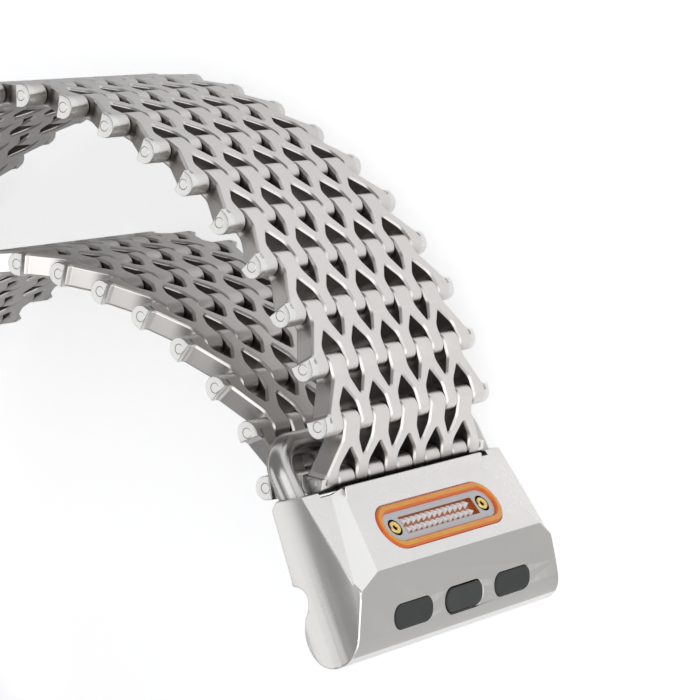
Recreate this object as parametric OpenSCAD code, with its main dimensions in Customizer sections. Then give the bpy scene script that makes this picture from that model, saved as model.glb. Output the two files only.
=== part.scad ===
// Link bracelet for a slide-in smartwatch lug: rows of zig-zag link plates on hinge pins, folded back
// through a wire loop on the buckle lug, with a magnet tab on the free end and a second lug for the case.
// The bracelet lies on its side: the hinge pins stand along +Z, and the plan view is the closed band.
// In the plan, lengths are measured from the axis of the loop's bar until the last translation.

/* [Strap] */
// Strap width, over the end bosses
strap_w = 19.2; // [16:0.2:21]
// Distance between two hinge pins
pitch = 3.8; // [3.6:0.05:4.4]
// Diameter of a knuckle, and thickness of a link plate
knuckle_d = 1.6; // [1.5:0.05:1.8]
// Diameter of a hinge pin
pin_d = 0.7; // [0.5:0.05:0.9]
// Radial clearance of a pin in the knuckles that turn on it
pin_clear = 0.05; // [0.02:0.01:0.09]
// Radial clearance of a pin in the knuckles that hold it
pin_seat_clear = 0.01; // [0.005:0.005:0.015]
// How far a pin's end lies inside the end boss
pin_recess = 0.06; // [0:0.02:0.2]
// Number of apex fingers on a row, one less than its feet
fingers = 5; // [4:1:6]
// Width of an apex finger
finger_w = 1.85; // [1.6:0.05:2]
// Width of an inner foot
foot_w = 1.35; // [1.2:0.05:1.5]
// Gap between a finger and the foot beside it
side_gap = 0.07; // [0.05:0.01:0.12]
// Depth of the straight part of a notch beyond the pin's axis
notch_straight = 1.05; // [1.02:0.01:1.15]
// Distance from the apex pin to the tip of a notch between two fingers
notch_tip = 2.2; // [2:0.05:2.4]
// Distance from the apex pin to the tip of an opening under a finger
opening_tip = 1.75; // [1.5:0.05:1.9]
// Radius of a notch's tip
tip_r = 0.14; // [0.1:0.01:0.2]
// How far an end boss stands proud of the side wall
boss_proud = 0.25; // [0.1:0.05:0.4]
// Length of an end boss's flat part behind the pin's axis
boss_back = 0.45; // [0.3:0.05:0.6]

/* [Route] */
// Distance from the loop bar's axis to the pin plane of the row that turns under it
turn_drop = 2.6; // [2.5:0.05:3]
// Heading of that row, in degrees
turn_heading = 185.3; // [180:0.1:190]
// Heading of the first row of the outer strand
outer_heading = 78.6; // [76:0.1:82]
// Bends at the next hinges of the outer strand
outer_bend_2 = 24.7; // [22:0.1:28]
// Bend at the third hinge of the outer strand
outer_bend_3 = 10.3; // [8:0.1:12]
// Bend at the fourth hinge of the outer strand
outer_bend_4 = 8.9; // [7:0.1:11]
// Bend at the other hinges of the outer strand's rise
outer_bend = 7.1; // [6:0.1:9]
// Rows in the outer strand's rise
outer_rise_rows = 10; // [8:1:12]
// Rows in the outer strand
outer_rows = 16; // [14:1:16]
// Heading of the first row of the inner strand
inner_heading = 108.6; // [106:0.1:111]
// Bend at the second hinge of the inner strand
inner_bend_2 = 20.7; // [18:0.1:23]
// Bend at the other hinges of the inner strand's rise
inner_bend = 7.9; // [7:0.1:9]
// Rows in the inner strand's rise
inner_rise_rows = 7; // [6:1:8]
// Rows in the inner strand
inner_rows = 24; // [22:1:24]
// Rows that turn each strand over at its top
crown_rows = 3; // [2:1:3]
// Bend at the hinges of the outer strand's top
outer_crown_bend = 11; // [10:0.1:11.5]
// Bend at the hinges behind the outer strand's top
outer_tail_bend = 4.5; // [3.5:0.1:6]
// Bend at the hinges of the inner strand's top
inner_crown_bend = 10.5; // [10:0.1:11]
// Nearly flat rows behind the inner strand's top
inner_flat_rows = 2; // [1:1:3]
// Bend at the hinges of those rows
inner_flat_bend = 3; // [2.5:0.1:4]
// Bend at the other hinges of the inner strand
far_bend = 10.6; // [10.3:0.1:10.8]

/* [Buckle loop] */
// Diameter of the loop's wire
wire_d = 1.7; // [1.5:0.05:1.8]
// Gap between the strap's ends and the loop's legs
loop_gap = 0.45; // [0.4:0.05:0.7]
// Radius of the loop's corners, at the wire's axis
loop_corner_r = 2.0; // [1.6:0.1:2.4]
// Direction of the loop's legs in the plan
leg_heading = -65; // [-68:1:-62]
// Length of the legs below the bar's axis
leg_length = 7.6; // [6.5:0.1:8]
// Radial clearance of a leg in its socket
leg_clear = 0.01; // [0.005:0.005:0.015]

/* [Lugs] */
// Length of the rail that slides into the watch case
rail_length = 25; // [24.8:0.1:27]
// Radius of the rail's bulb
bulb_r = 2.15; // [2:0.05:2.3]
// Distance from the crease to the bulb's axis
bulb_reach = 3.85; // [3.7:0.05:4.2]
// Depth of the groove behind the rail
neck_depth = 0.4; // [0.2:0.05:0.6]
// Crease of the buckle lug, across and along the plan from the loop's bar
crease_x = 7.1; // [6.9:0.05:7.3]
// Crease of the buckle lug, below the loop's bar
crease_y = -7.85; // [-8.1:0.05:-7.7]
// Slope of the main face
face_heading = -52.4; // [-54:0.1:-51]
// Length of the main face, from its upper lip to the crease
face_length = 5.55; // [5.4:0.05:5.7]
// Slope of the rail's pad face
rail_heading = -92; // [-94:0.5:-90]
// Radius of the hollow seat under the strap's turn
seat_r = 4.35; // [4.2:0.05:4.5]
// Gap beside the strap in that seat
seat_gap = 0.25; // [0.2:0.05:0.35]
// Half width of the main face at its upper lip
face_half_top = 8.1; // [7.6:0.1:8.6]
// Half width of the main face at the crease
face_half_crease = 9.8; // [9.4:0.1:10.2]
// Slope of the bevels beside the main face
bevel_slope = 23; // [18:1:28]
// Direction of the half-round column at each end of the buckle lug
column_heading = -69; // [-71:0.5:-67]
// How far the column's round reaches towards the main face
column_front = 3; // [2.4:0.1:3.4]
// Depth of the shelf below the main face, at the lip
shelf_depth = 0.42; // [0.36:0.02:0.5]
// How much steeper than the main face the shelf is
shelf_tilt = 3.6; // [2:0.2:4]
// Depth of the flat land behind the main face's lip
land_depth = 1.3; // [1:0.1:1.5]
// Slope of the buckle lug's end faces
end_slope = 4; // [3:0.5:4.5]

/* [Pads and latch] */
// Length of a pad and of the latch button
pad_length = 4.4; // [3.8:0.1:4.8]
// Width of a pad and of the latch button
pad_width = 1.6; // [1.6:0.05:1.8]
// Corner radius of a pad
pad_corner_r = 0.75; // [0.4:0.05:0.78]
// Distance between the middles of two pads
pad_spacing = 5.95; // [5.6:0.05:6.4]
// Distance from the crease to the pads' middle line
pad_reach = 3.35; // [3.1:0.05:3.5]
// Depth of a pad
pad_depth = 0.8; // [0.6:0.1:1.1]
// How far the pads and the button stand proud
pad_proud = 0.06; // [0.02:0.02:0.12]
// Travel of the latch button
button_travel = 0.6; // [0.4:0.05:0.7]
// Depth of the latch button below the pad face
button_depth = 1.3; // [1.1:0.1:1.4]
// Gap round the latch button
button_gap = 0.06; // [0.04:0.01:0.1]
// Outer diameter of the latch spring
spring_d = 1.2; // [1:0.05:1.3]
// Wire diameter of the latch spring
spring_wire_d = 0.2; // [0.15:0.01:0.25]
// Height of the latch spring at rest
spring_height = 1.5; // [1.3:0.1:1.6]
// Turns of the latch spring
spring_turns = 3; // [2:1:3]

/* [Inlay] */
// Distance between the middles of the two rivets
rivet_spacing = 10.4; // [9.8:0.1:11]
// Distance from the main face's lip to the inlay's middle line
inlay_reach = 2.88; // [2.7:0.02:3]
// Outer radius of the ring's round ends
ring_r = 1.68; // [1.6:0.02:1.8]
// Width of the ring
ring_w = 0.58; // [0.5:0.02:0.66]
// Depth of the ring's groove
ring_depth = 0.7; // [0.5:0.05:0.8]
// How far the ring stands proud
ring_proud = 0.12; // [0.05:0.01:0.16]
// How deep the inlay plate lies under the main face
plate_sink = 0.1; // [0.05:0.01:0.2]
// Length of the recess in the inlay plate
recess_length = 8.7; // [8:0.1:8.9]
// Width of the recess in the inlay plate
recess_width = 1.3; // [1.1:0.05:1.4]
// Depth of the recess
recess_depth = 0.3; // [0.2:0.05:0.4]
// Teeth in one row
teeth = 13; // [8:1:14]
// Height of a tooth
tooth_height = 0.2; // [0.1:0.02:0.24]
// Radius of a rivet's head
rivet_r = 0.5; // [0.4:0.02:0.56]
// Radius of a rivet's hole
rivet_hole_r = 0.16; // [0.1:0.02:0.2]

/* [Magnet tab] */
// Length of the tab, from its hinge pin
tab_length = 13.5; // [12:0.5:14]
// Width of the tab
tab_w = 25; // [23:0.5:25]
// Thickness of the tab
tab_t = 2.6; // [2.4:0.1:3]
// Thickness of the tab's cover
cover_t = 0.5; // [0.4:0.05:0.6]
// Wall round the magnets' pocket
tab_wall = 1.0; // [0.8:0.1:1.3]
// Corner radius at the tab's free end
tab_corner_r = 2.5; // [1.5:0.1:3]
// Number of magnets
magnets = 3; // [2:1:4]
// Gap round a magnet
magnet_gap = 0.15; // [0.1:0.05:0.2]
// Thickness of a magnet
magnet_t = 1.2; // [1:0.05:1.25]

/* [Case lug] */
// Distance from the case lug's hinge pin to its crease
case_reach = 5.0; // [4.6:0.1:5.6]
// Width of the case lug's waist beside its fingers
waist_gap = 0.4; // [0.3:0.1:0.6]

/* [Hidden] */
$fn = 48;
eps = 0.02;
over = 1;

knuckle_r = knuckle_d / 2;
cell = finger_w + foot_w + 2 * side_gap;
foot_half = foot_w / 2 + side_gap;
finger_half = finger_w / 2 + side_gap;
fingers_edge = (fingers - 1) / 2 * cell + finger_w / 2;
end_foot_start = fingers / 2 * cell - foot_w / 2;
wall_edge = strap_w / 2 - boss_proud;
side_slope_end = pitch - boss_back - 0.75;
mid_z = rail_length / 2;

// Unit vector at a heading
function way(h) = [cos(h), sin(h)];
// Sum of the first n values of a list
function sum_to(v, n) = n <= 0 ? 0 : v[n - 1] + sum_to(v, n - 1);
// Sum of the first n steps along a list of headings
function walk(start, heads, n) = n <= 0 ? start : walk(start, heads, n - 1) + pitch * way(heads[n - 1]);

outer_bends = [for (i = [0 : outer_rows - 1])
    i == 0 ? 0 : i == 1 ? outer_bend_2 : i == 2 ? outer_bend_3 : i == 3 ? outer_bend_4
    : i < outer_rise_rows ? outer_bend : i < outer_rise_rows + crown_rows ? outer_crown_bend : outer_tail_bend];
inner_bends = [for (i = [0 : inner_rows - 1])
    i == 0 ? 0 : i == 1 ? inner_bend_2 : i < inner_rise_rows ? inner_bend
    : i < inner_rise_rows + crown_rows ? inner_crown_bend
    : i < inner_rise_rows + crown_rows + inner_flat_rows ? inner_flat_bend : far_bend];
outer_heads = [for (i = [0 : outer_rows - 1]) outer_heading + sum_to(outer_bends, i + 1)];
inner_heads = [for (i = [0 : inner_rows - 1]) inner_heading + sum_to(inner_bends, i + 1)];

// Places of the hinge pins: under the loop, then up each strand
turn_middle = turn_drop * way(turn_heading + 90);
outer_foot = turn_middle - pitch / 2 * way(turn_heading);
inner_foot = turn_middle + pitch / 2 * way(turn_heading);
outer_pins = [for (i = [0 : outer_rows]) walk(outer_foot, outer_heads, i)];
inner_pins = [for (i = [0 : inner_rows]) walk(inner_foot, inner_heads, i)];
tab_heading = outer_heads[outer_rows - 1] + outer_tail_bend;
case_heading = inner_heads[inner_rows - 1] + far_bend;
tab_end = outer_pins[outer_rows] + tab_length * way(tab_heading);
case_end = inner_pins[inner_rows] + (case_reach + bulb_reach) * way(case_heading);

// Outline of the buckle lug, from its crease
crease = [crease_x, crease_y];
lip = crease - face_length * way(face_heading);
rail_back = 2 * bulb_r;
step_depth = 0.85;
step_at = 1.0;
shoulder = crease + step_at * way(rail_heading) + (rail_back + step_depth) * way(rail_heading - 90);
sleeve_width = 3.45;
sleeve_rise = 0.72;
sleeve_rise_heading = 92;
sleeve_back_heading = 190;
sleeve_top = lip + sleeve_rise * way(sleeve_rise_heading);
sleeve_back = sleeve_top + sleeve_width * way(sleeve_back_heading);
sleeve_chamfer = 0.55;

// Middle of the plan's box, which becomes the origin
plan_x = concat([for (p = outer_pins) p[0] - knuckle_r], [for (p = inner_pins) p[0] - knuckle_r],
    [tab_end[0] + tab_t / 2 * way(tab_heading - 90)[0]]);
plan_y_top = [for (p = outer_pins) p[1] + knuckle_r];
plan_y_low = [case_end[1] - bulb_r, for (p = inner_pins) p[1] - knuckle_r];
centre = [(min(plan_x) + crease_x) / 2, (max(plan_y_top) + min(plan_y_low)) / 2];

leg_z = strap_w / 2 + loop_gap + wire_d / 2;
seat_half = strap_w / 2 + seat_gap;
pocket_half = tab_w / 2 - tab_wall;
magnet_w = (2 * pocket_half - (magnets + 1) * tab_wall) / magnets - 2 * magnet_gap;
pocket_offset = 2.2;
pocket_start = notch_straight + pocket_offset;
pocket_length = tab_length - tab_wall - pocket_start;

// Places children, drawn in the plan from the loop's bar, in the part's frame
module in_plan() {
    translate([-centre[0], -centre[1], mid_z]) children();
}

// Places children at a point of the plan, turned to a heading
module at(p, heading) {
    translate([p[0], p[1], 0]) rotate([0, 0, heading]) children();
}

// Rounded rectangle with its middle at the origin
module rounded(l, w, r) {
    square([l - 2 * r, w], center = true);
    square([l, w - 2 * r], center = true);
    for (x = [-1, 1], y = [-1, 1]) translate([x * (l / 2 - r), y * (w / 2 - r)]) circle(r);
}

// Stadium whose round ends lie apart along Y
module stadium(apart, r) {
    square([2 * r, apart], center = true);
    for (y = [-1, 1]) translate([0, y * apart / 2]) circle(r);
}

// Stands an outline on its edge, so that its first axis runs along X, its second along Z and its depth along -Y
module on_edge(depth) {
    rotate([90, 0, 0]) linear_extrude(depth) children();
}

// A notch with straight sides from x = from to x = to, then a taper to a round tip
module notch(from, to, tip, half) {
    polygon([[from, -half], [to, -half], [tip, -tip_r], [tip, tip_r], [to, half], [from, half]]);
    translate([tip, 0]) circle(tip_r);
}

// Flat outline of a row: fingers at x = 0, feet at x = pitch
module row_outline() {
    difference() {
        polygon([
            [0, -fingers_edge], [notch_straight, -fingers_edge], [side_slope_end, -wall_edge], [pitch, -wall_edge],
            [pitch, wall_edge], [side_slope_end, wall_edge], [notch_straight, fingers_edge], [0, fingers_edge]]);
        for (i = [1 : fingers - 1]) translate([0, (i - fingers / 2) * cell])
            notch(-over, notch_straight, notch_tip, foot_half);
        for (i = [0 : fingers - 1]) translate([0, (i - (fingers - 1) / 2) * cell])
            notch(pitch + over, pitch - notch_straight, opening_tip, finger_half);
    }
}

// Barrels of the apex fingers round the pin at x = 0
module finger_barrels() {
    for (i = [0 : fingers - 1]) translate([0, 0, (i - (fingers - 1) / 2) * cell])
        cylinder(h = finger_w, d = knuckle_d, center = true);
}

// Barrels of the feet round the pin at x = 0, with the two end bosses towards -X
module foot_barrels() {
    for (i = [1 : fingers - 1]) translate([0, 0, (i - fingers / 2) * cell])
        cylinder(h = foot_w, d = knuckle_d, center = true);
    for (s = [-1, 1]) translate([0, 0, s * (end_foot_start + strap_w / 2) / 2]) {
        cylinder(h = strap_w / 2 - end_foot_start, d = knuckle_d, center = true);
        translate([-boss_back, -knuckle_r, s > 0 ? (strap_w / 2 - end_foot_start) / 2 - boss_proud - eps
            : -(strap_w / 2 - end_foot_start) / 2]) cube([boss_back, knuckle_d, boss_proud + eps]);
    }
}

// Bore for a pin through the whole strap
module pin_bore(clear) {
    cylinder(h = strap_w + 2 * over, d = pin_d + 2 * clear, center = true);
}

// Hinge pin at x = 0
module hinge_pin() {
    cylinder(h = strap_w - 2 * pin_recess, d = pin_d, center = true);
}

// One row of the strap, from its apex pin to its foot pin, with the foot pin in place
module link_row(apex, foot) {
    run = foot - apex;
    in_plan() at(apex, atan2(run[1], run[0])) {
        color("silver") difference() {
            union() {
                translate([0, knuckle_r, 0]) on_edge(knuckle_d) row_outline();
                finger_barrels();
                translate([pitch, 0, 0]) foot_barrels();
            }
            pin_bore(pin_clear);
            translate([pitch, 0, 0]) pin_bore(pin_seat_clear);
        }
        color("gainsboro") translate([pitch, 0, 0]) hinge_pin();
    }
}

module turn_row() { link_row(outer_pins[0], inner_pins[0]); }
module outer_row(i) { link_row(outer_pins[i], outer_pins[i - 1]); }
module inner_row(i) { link_row(inner_pins[i - 1], inner_pins[i]); }

// Rail space: x runs from the crease towards the watch, y points out of the pad face
module buckle_rail() { in_plan() at(crease, rail_heading) children(); }
module case_rail() {
    in_plan() at(inner_pins[inner_rows], case_heading) rotate([180, 0, 0])
        translate([case_reach, bulb_r, 0]) children();
}

// Face space: x runs down the main face from its lip, y points out of it
module main_face() { in_plan() at(lip, face_heading) children(); }

// Section of the rail with its bulb and the groove behind it
module rail_section() {
    polygon([[-eps, 0], [bulb_reach, 0], [bulb_reach, -rail_back], [step_at + 1.4, neck_depth - rail_back],
        [step_at + 0.5, neck_depth - rail_back], [step_at, -rail_back], [-eps, -rail_back]]);
    translate([bulb_reach, -bulb_r]) circle(bulb_r);
}

// Pockets of the two pads, the button and its spring, in rail space
module pad_pockets() {
    for (s = [-1, 1]) translate([pad_reach, over, s * pad_spacing])
        on_edge(pad_depth + over) rounded(pad_width, pad_length, pad_corner_r);
    translate([pad_reach, over, 0]) on_edge(button_depth + button_travel + over)
        rounded(pad_width + 2 * button_gap, pad_length + 2 * button_gap, pad_corner_r + button_gap);
    translate([pad_reach, 0, 0]) rotate([90, 0, 0])
        cylinder(h = button_depth + spring_height, d = spring_d + 2 * button_gap);
}

module pads() {
    color("darkslategray") for (s = [-1, 1]) translate([pad_reach, pad_proud, s * pad_spacing])
        on_edge(pad_depth + pad_proud) rounded(pad_width, pad_length, pad_corner_r);
}

module button() {
    color("darkslategray") translate([pad_reach, pad_proud, 0])
        on_edge(button_depth + pad_proud) rounded(pad_width, pad_length, pad_corner_r);
}

// Coil spring between the button and the floor of its bore, as one swept tube
spring_sides = 6;
spring_steps = 12;
spring_rise = spring_height - spring_wire_d - 2 * eps;
function coil_point(step, side) =
    let (turn = 360 * step / spring_steps, tilt = 360 * side / spring_sides,
        r = (spring_d - spring_wire_d) / 2 + spring_wire_d / 2 * cos(tilt))
    [r * cos(turn), r * sin(turn),
        spring_rise * step / (spring_steps * spring_turns) + spring_wire_d / 2 * sin(tilt)];
module spring() {
    steps = spring_steps * spring_turns;
    rings = [for (i = [0 : steps], k = [0 : spring_sides - 1]) coil_point(i, k)];
    sides = [for (i = [0 : steps - 1], k = [0 : spring_sides - 1])
        let (a = i * spring_sides + k, b = i * spring_sides + (k + 1) % spring_sides)
        each [[a, b, b + spring_sides], [a, b + spring_sides, a + spring_sides]]];
    first = [for (k = [spring_sides - 1 : -1 : 0]) k];
    last = [for (k = [0 : spring_sides - 1]) steps * spring_sides + k];
    color("gray") translate([pad_reach, -button_depth - spring_height + spring_wire_d / 2 + eps, 0])
        rotate([-90, 0, 0]) polyhedron(rings, concat(sides, [first, last]));
}

// Plan outline of the buckle lug above its rail
module buckle_outline() {
    polygon([lip, crease, crease + step_at * way(rail_heading), shoulder,
        sleeve_back + sleeve_chamfer * way(face_heading - 20),
        sleeve_back + sleeve_chamfer * way(10), sleeve_top]);
}

// Stock of the buckle lug between its half-round ends
module column_stock() {
    at(crease + bulb_reach * way(rail_heading) + bulb_r * way(rail_heading - 90), column_heading)
        rotate([90, 0, 90]) linear_extrude(2 * rail_length, center = true) {
            square([2 * rail_length, rail_length - 2 * bulb_r], center = true);
            for (s = [-1, 1]) translate([0, s * (rail_length / 2 - bulb_r)]) {
                circle(bulb_r);
                intersection() {
                    scale([column_front / bulb_r, 1]) circle(bulb_r);
                    translate([0, -bulb_r]) square(2 * bulb_r);
                }
            }
        }
}

// Cuts a bevel beside the main face, down to a shelf in front of the leg's socket, on the side s
module bevel_cut(s) {
    flare = atan2(face_half_crease - face_half_top, face_length);
    at(lip, face_heading) intersection() {
        translate([0, 0, s * face_half_top]) rotate([0, -s * flare, 0]) rotate([s * bevel_slope, 0, 0])
            translate([-rail_length, 0, s > 0 ? 0 : -rail_length])
            cube([2 * rail_length + face_length, rail_length, rail_length]);
        translate([0, -shelf_depth, 0]) rotate([0, 0, -shelf_tilt]) translate([-rail_length, 0, -rail_length])
            cube([2 * rail_length + face_length, rail_length, 2 * rail_length]);
    }
}

// Slopes the end of the lug's block, on the side s
module end_slope_cut(s) {
    translate([0, crease_y, s * mid_z]) rotate([-s * end_slope, 0, 0])
        translate([-rail_length, 0, s > 0 ? 0 : -2 * rail_length]) cube(2 * rail_length);
}

// Sockets of the loop's legs
module leg_sockets(clear) {
    for (s = [-1, 1]) translate([0, 0, s * leg_z]) rotate([0, 0, leg_heading]) rotate([0, 90, 0])
        cylinder(h = leg_length + clear, d = wire_d + 2 * clear);
}

// Opens the front of the seat down to the main face's lip
module slot_land() {
    main_face() translate([0, over, 0]) on_edge(land_depth + over) polygon([[0, -face_half_top],
        [0, face_half_top], [-sleeve_rise, seat_half], [-seat_r, seat_half], [-seat_r, -seat_half],
        [-sleeve_rise, -seat_half]]);
}

module buckle_lug() {
    color("lightgray") difference() {
        intersection() {
            union() {
                difference() {
                    in_plan() linear_extrude(rail_length, center = true) buckle_outline();
                    in_plan() for (s = [-1, 1]) end_slope_cut(s);
                    in_plan() cylinder(h = 2 * seat_half, r = seat_r, center = true);
                    slot_land();
                }
                buckle_rail() linear_extrude(rail_length, center = true) rail_section();
            }
            in_plan() column_stock();
        }
        in_plan() for (s = [-1, 1]) bevel_cut(s);
        in_plan() leg_sockets(leg_clear);
        buckle_rail() pad_pockets();
        main_face() translate([inlay_reach, over, 0]) on_edge(ring_depth + over) stadium(rivet_spacing, ring_r);
    }
}

// Bar and legs of the loop, with round corners
module buckle_loop() {
    bar_half = leg_z - loop_corner_r;
    color("gainsboro") in_plan() rotate([0, 0, leg_heading]) {
        cylinder(h = 2 * bar_half, d = wire_d, center = true);
        for (s = [-1, 1]) {
            translate([loop_corner_r, 0, s * bar_half]) rotate([90, 0, 0]) rotate([0, 0, s > 0 ? 90 : 180])
                rotate_extrude(angle = 90) translate([loop_corner_r, 0]) circle(d = wire_d);
            translate([loop_corner_r, 0, s * leg_z]) rotate([0, 90, 0])
                cylinder(h = leg_length - loop_corner_r, d = wire_d);
        }
    }
}

module inlay_ring() {
    color("darkorange") main_face() translate([inlay_reach, ring_proud, 0])
        on_edge(ring_depth + ring_proud) difference() {
            stadium(rivet_spacing, ring_r);
            stadium(rivet_spacing, ring_r - ring_w);
        }
}

module inlay_plate() {
    color("lightgray") main_face() translate([inlay_reach, -plate_sink, 0]) difference() {
        on_edge(ring_depth - plate_sink) stadium(rivet_spacing, ring_r - ring_w);
        translate([0, over, 0]) on_edge(recess_depth + over) square([recess_width, recess_length], center = true);
        for (s = [-1, 1]) translate([0, over, s * rivet_spacing / 2]) rotate([90, 0, 0])
            cylinder(h = recess_depth + over, r = rivet_r);
    }
}

module inlay_teeth() {
    tooth_pitch = recess_length / (teeth + 1);
    tooth_half = recess_width / 4 - eps;
    color("white") main_face() translate([inlay_reach, tooth_height - plate_sink - recess_depth, 0])
        for (row = [-1, 1], i = [0 : teeth - 1])
            translate([row * recess_width / 4, 0, (i - (teeth - 1) / 2) * tooth_pitch])
                on_edge(tooth_height) polygon([[-tooth_half, tooth_half], [tooth_half, tooth_half],
                    [0, -tooth_half]]);
}

module inlay_rivets() {
    color("gold") main_face() for (s = [-1, 1]) translate([inlay_reach, 0, s * rivet_spacing / 2])
        rotate([90, 0, 0]) difference() {
            cylinder(h = plate_sink + recess_depth, r = rivet_r);
            translate([0, 0, -over]) cylinder(h = over + recess_depth, r = rivet_hole_r);
        }
}

module buckle_pads() { buckle_rail() pads(); }
module buckle_button() { buckle_rail() button(); }
module buckle_spring() { buckle_rail() spring(); }

// Tab space: x runs from the tab's hinge pin to its free end, y points away from the wrist
module tab_space() {
    in_plan() at(outer_pins[outer_rows], tab_heading) rotate([180, 0, 0]) children();
}

// Flat outline of the tab behind its feet
module tab_outline() {
    polygon([[notch_straight, -wall_edge], [pocket_start, -tab_w / 2],
        [tab_length - tab_corner_r, -tab_w / 2], [tab_length, tab_corner_r - tab_w / 2],
        [tab_length, tab_w / 2 - tab_corner_r], [tab_length - tab_corner_r, tab_w / 2],
        [pocket_start, tab_w / 2], [notch_straight, wall_edge]]);
    for (s = [-1, 1]) translate([tab_length - tab_corner_r, s * (tab_w / 2 - tab_corner_r)]) circle(tab_corner_r);
}

module tab_shell() {
    color("lightgray") tab_space() difference() {
        union() {
            translate([0, tab_t - knuckle_r, 0]) on_edge(tab_t) tab_outline();
            translate([0, knuckle_r, 0]) on_edge(knuckle_d) difference() {
                translate([0, -wall_edge]) square([notch_straight + eps, 2 * wall_edge]);
                for (i = [0 : fingers - 1]) translate([-over, (i - (fingers - 1) / 2) * cell - finger_half])
                    square([over + notch_straight, 2 * finger_half]);
            }
            mirror([1, 0, 0]) foot_barrels();
        }
        pin_bore(pin_seat_clear);
        translate([pocket_start + pocket_length / 2, cover_t - knuckle_r, 0])
            on_edge(cover_t + over) square([pocket_length, 2 * pocket_half], center = true);
        for (i = [0 : magnets - 1]) tab_cell(i) on_edge(magnet_t + over)
            square([pocket_length - 2 * tab_wall, magnet_w + 2 * magnet_gap], center = true);
    }
}

// Places children at the top of one magnet's cell
module tab_cell(i) {
    translate([pocket_start + pocket_length / 2, cover_t - knuckle_r + magnet_t,
        (i - (magnets - 1) / 2) * (magnet_w + 2 * magnet_gap + tab_wall)]) children();
}

module tab_cover() {
    color("silver") tab_space() translate([pocket_start + pocket_length / 2, cover_t - knuckle_r, 0])
        on_edge(cover_t) square([pocket_length, 2 * pocket_half], center = true);
}

module tab_magnets() {
    color("dimgray") tab_space() for (i = [0 : magnets - 1]) tab_cell(i) on_edge(magnet_t)
        square([pocket_length - 2 * tab_wall - 2 * magnet_gap, magnet_w], center = true);
}

module tab_pin() { color("gainsboro") tab_space() hinge_pin(); }

// Flat outline of the case lug's fingers and waist
module case_outline() {
    difference() {
        polygon([[0, -fingers_edge], [notch_straight, -fingers_edge], [case_reach - waist_gap, -mid_z],
            [case_reach, -mid_z], [case_reach, mid_z], [case_reach - waist_gap, mid_z],
            [notch_straight, fingers_edge], [0, fingers_edge]]);
        for (i = [1 : fingers - 1]) translate([-over, (i - fingers / 2) * cell - foot_half])
            square([notch_straight + over, 2 * foot_half]);
    }
}

// Section of the case lug between its fingers and its rail
module case_section() {
    polygon([[0, -knuckle_r], [notch_straight, -knuckle_r], [case_reach - waist_gap, -bulb_r],
        [case_reach, -bulb_r], [case_reach, bulb_r], [case_reach - waist_gap, bulb_r],
        [notch_straight, knuckle_r], [0, knuckle_r]]);
}

module case_lug() {
    color("lightgray") difference() {
        union() {
            in_plan() at(inner_pins[inner_rows], case_heading) {
                intersection() {
                    translate([0, bulb_r, 0]) on_edge(2 * bulb_r) case_outline();
                    linear_extrude(rail_length, center = true) case_section();
                }
                finger_barrels();
            }
            case_rail() linear_extrude(rail_length, center = true) rail_section();
        }
        in_plan() at(inner_pins[inner_rows], case_heading) pin_bore(pin_clear);
        case_rail() pad_pockets();
    }
}

module case_pads() { case_rail() pads(); }
module case_button() { case_rail() button(); }
module case_spring() { case_rail() spring(); }

buckle_lug();
buckle_loop();
inlay_ring();
inlay_plate();
inlay_teeth();
inlay_rivets();
buckle_pads();
buckle_button();
buckle_spring();
turn_row();
for (i = [1 : outer_rows]) outer_row(i);
tab_shell();
tab_cover();
tab_magnets();
tab_pin();
for (i = [1 : inner_rows]) inner_row(i);
case_lug();
case_pads();
case_button();
case_spring();
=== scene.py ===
"""Looks of a link bracelet for a slide-in watch case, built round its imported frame.

Sizes are in millimetres and are turned to metres when a piece is placed. The plan is measured
from the axis of the loop's bar: x and y lie in the plan and z runs along the hinge pins, with zero
in the middle of the strap.
"""

import logging
import math
from collections.abc import Callable
from dataclasses import dataclass, field
from enum import Enum

import bmesh
import bpy
from mathutils import Matrix, Vector


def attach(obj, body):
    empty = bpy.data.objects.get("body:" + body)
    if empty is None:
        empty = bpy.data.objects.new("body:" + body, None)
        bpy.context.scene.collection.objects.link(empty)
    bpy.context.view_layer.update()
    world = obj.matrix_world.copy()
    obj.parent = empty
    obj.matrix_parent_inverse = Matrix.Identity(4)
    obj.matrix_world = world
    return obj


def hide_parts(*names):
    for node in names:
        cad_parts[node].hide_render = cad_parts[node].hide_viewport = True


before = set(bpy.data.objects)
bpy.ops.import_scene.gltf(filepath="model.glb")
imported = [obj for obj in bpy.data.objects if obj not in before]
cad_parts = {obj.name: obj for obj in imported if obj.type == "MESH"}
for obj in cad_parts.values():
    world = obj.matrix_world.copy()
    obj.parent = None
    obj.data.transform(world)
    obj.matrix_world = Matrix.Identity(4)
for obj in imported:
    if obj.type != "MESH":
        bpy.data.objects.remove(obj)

LOG = logging.getLogger("bracelet")
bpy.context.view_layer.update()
MM = 0.001
QUARTER = math.pi / 2

Point = tuple[float, float]
Corner = tuple[float, float, float]
Colour = tuple[float, float, float]
Shape = bmesh.types.BMesh
Value = bpy.types.NodeSocket | float | tuple[float, ...]


class Finish(Enum):
    """Named finishes of the bracelet's surfaces."""

    LINK = "link"
    # A darker copy of the link metal for the walls in the notches: painted shade.
    SHADED_HOLLOW = "hollow"
    PIN = "pin"
    LUG = "lug"
    RAIL = "rail"
    # A lighter copy of the lug metal for the bevel beside the main face: painted highlight.
    BEVEL = "bevel"
    # Near-black titanium in the seat behind the lip and round the rivets: painted shade.
    SHADED_SEAT = "seat"
    WIRE = "wire"
    AMBER = "amber"
    # Darker red on the amber ring's sides: painted shade.
    AMBER_SHADED_SIDE = "amber_shaded_side"
    PLATE = "plate"
    RECESS = "recess"
    TOOTH = "tooth"
    GOLD = "gold"
    RUBBER = "rubber"
    LATCH = "latch"
    COVER = "cover"
    SPRING = "spring"
    MAGNET = "magnet"


# The plan of the band


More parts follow.
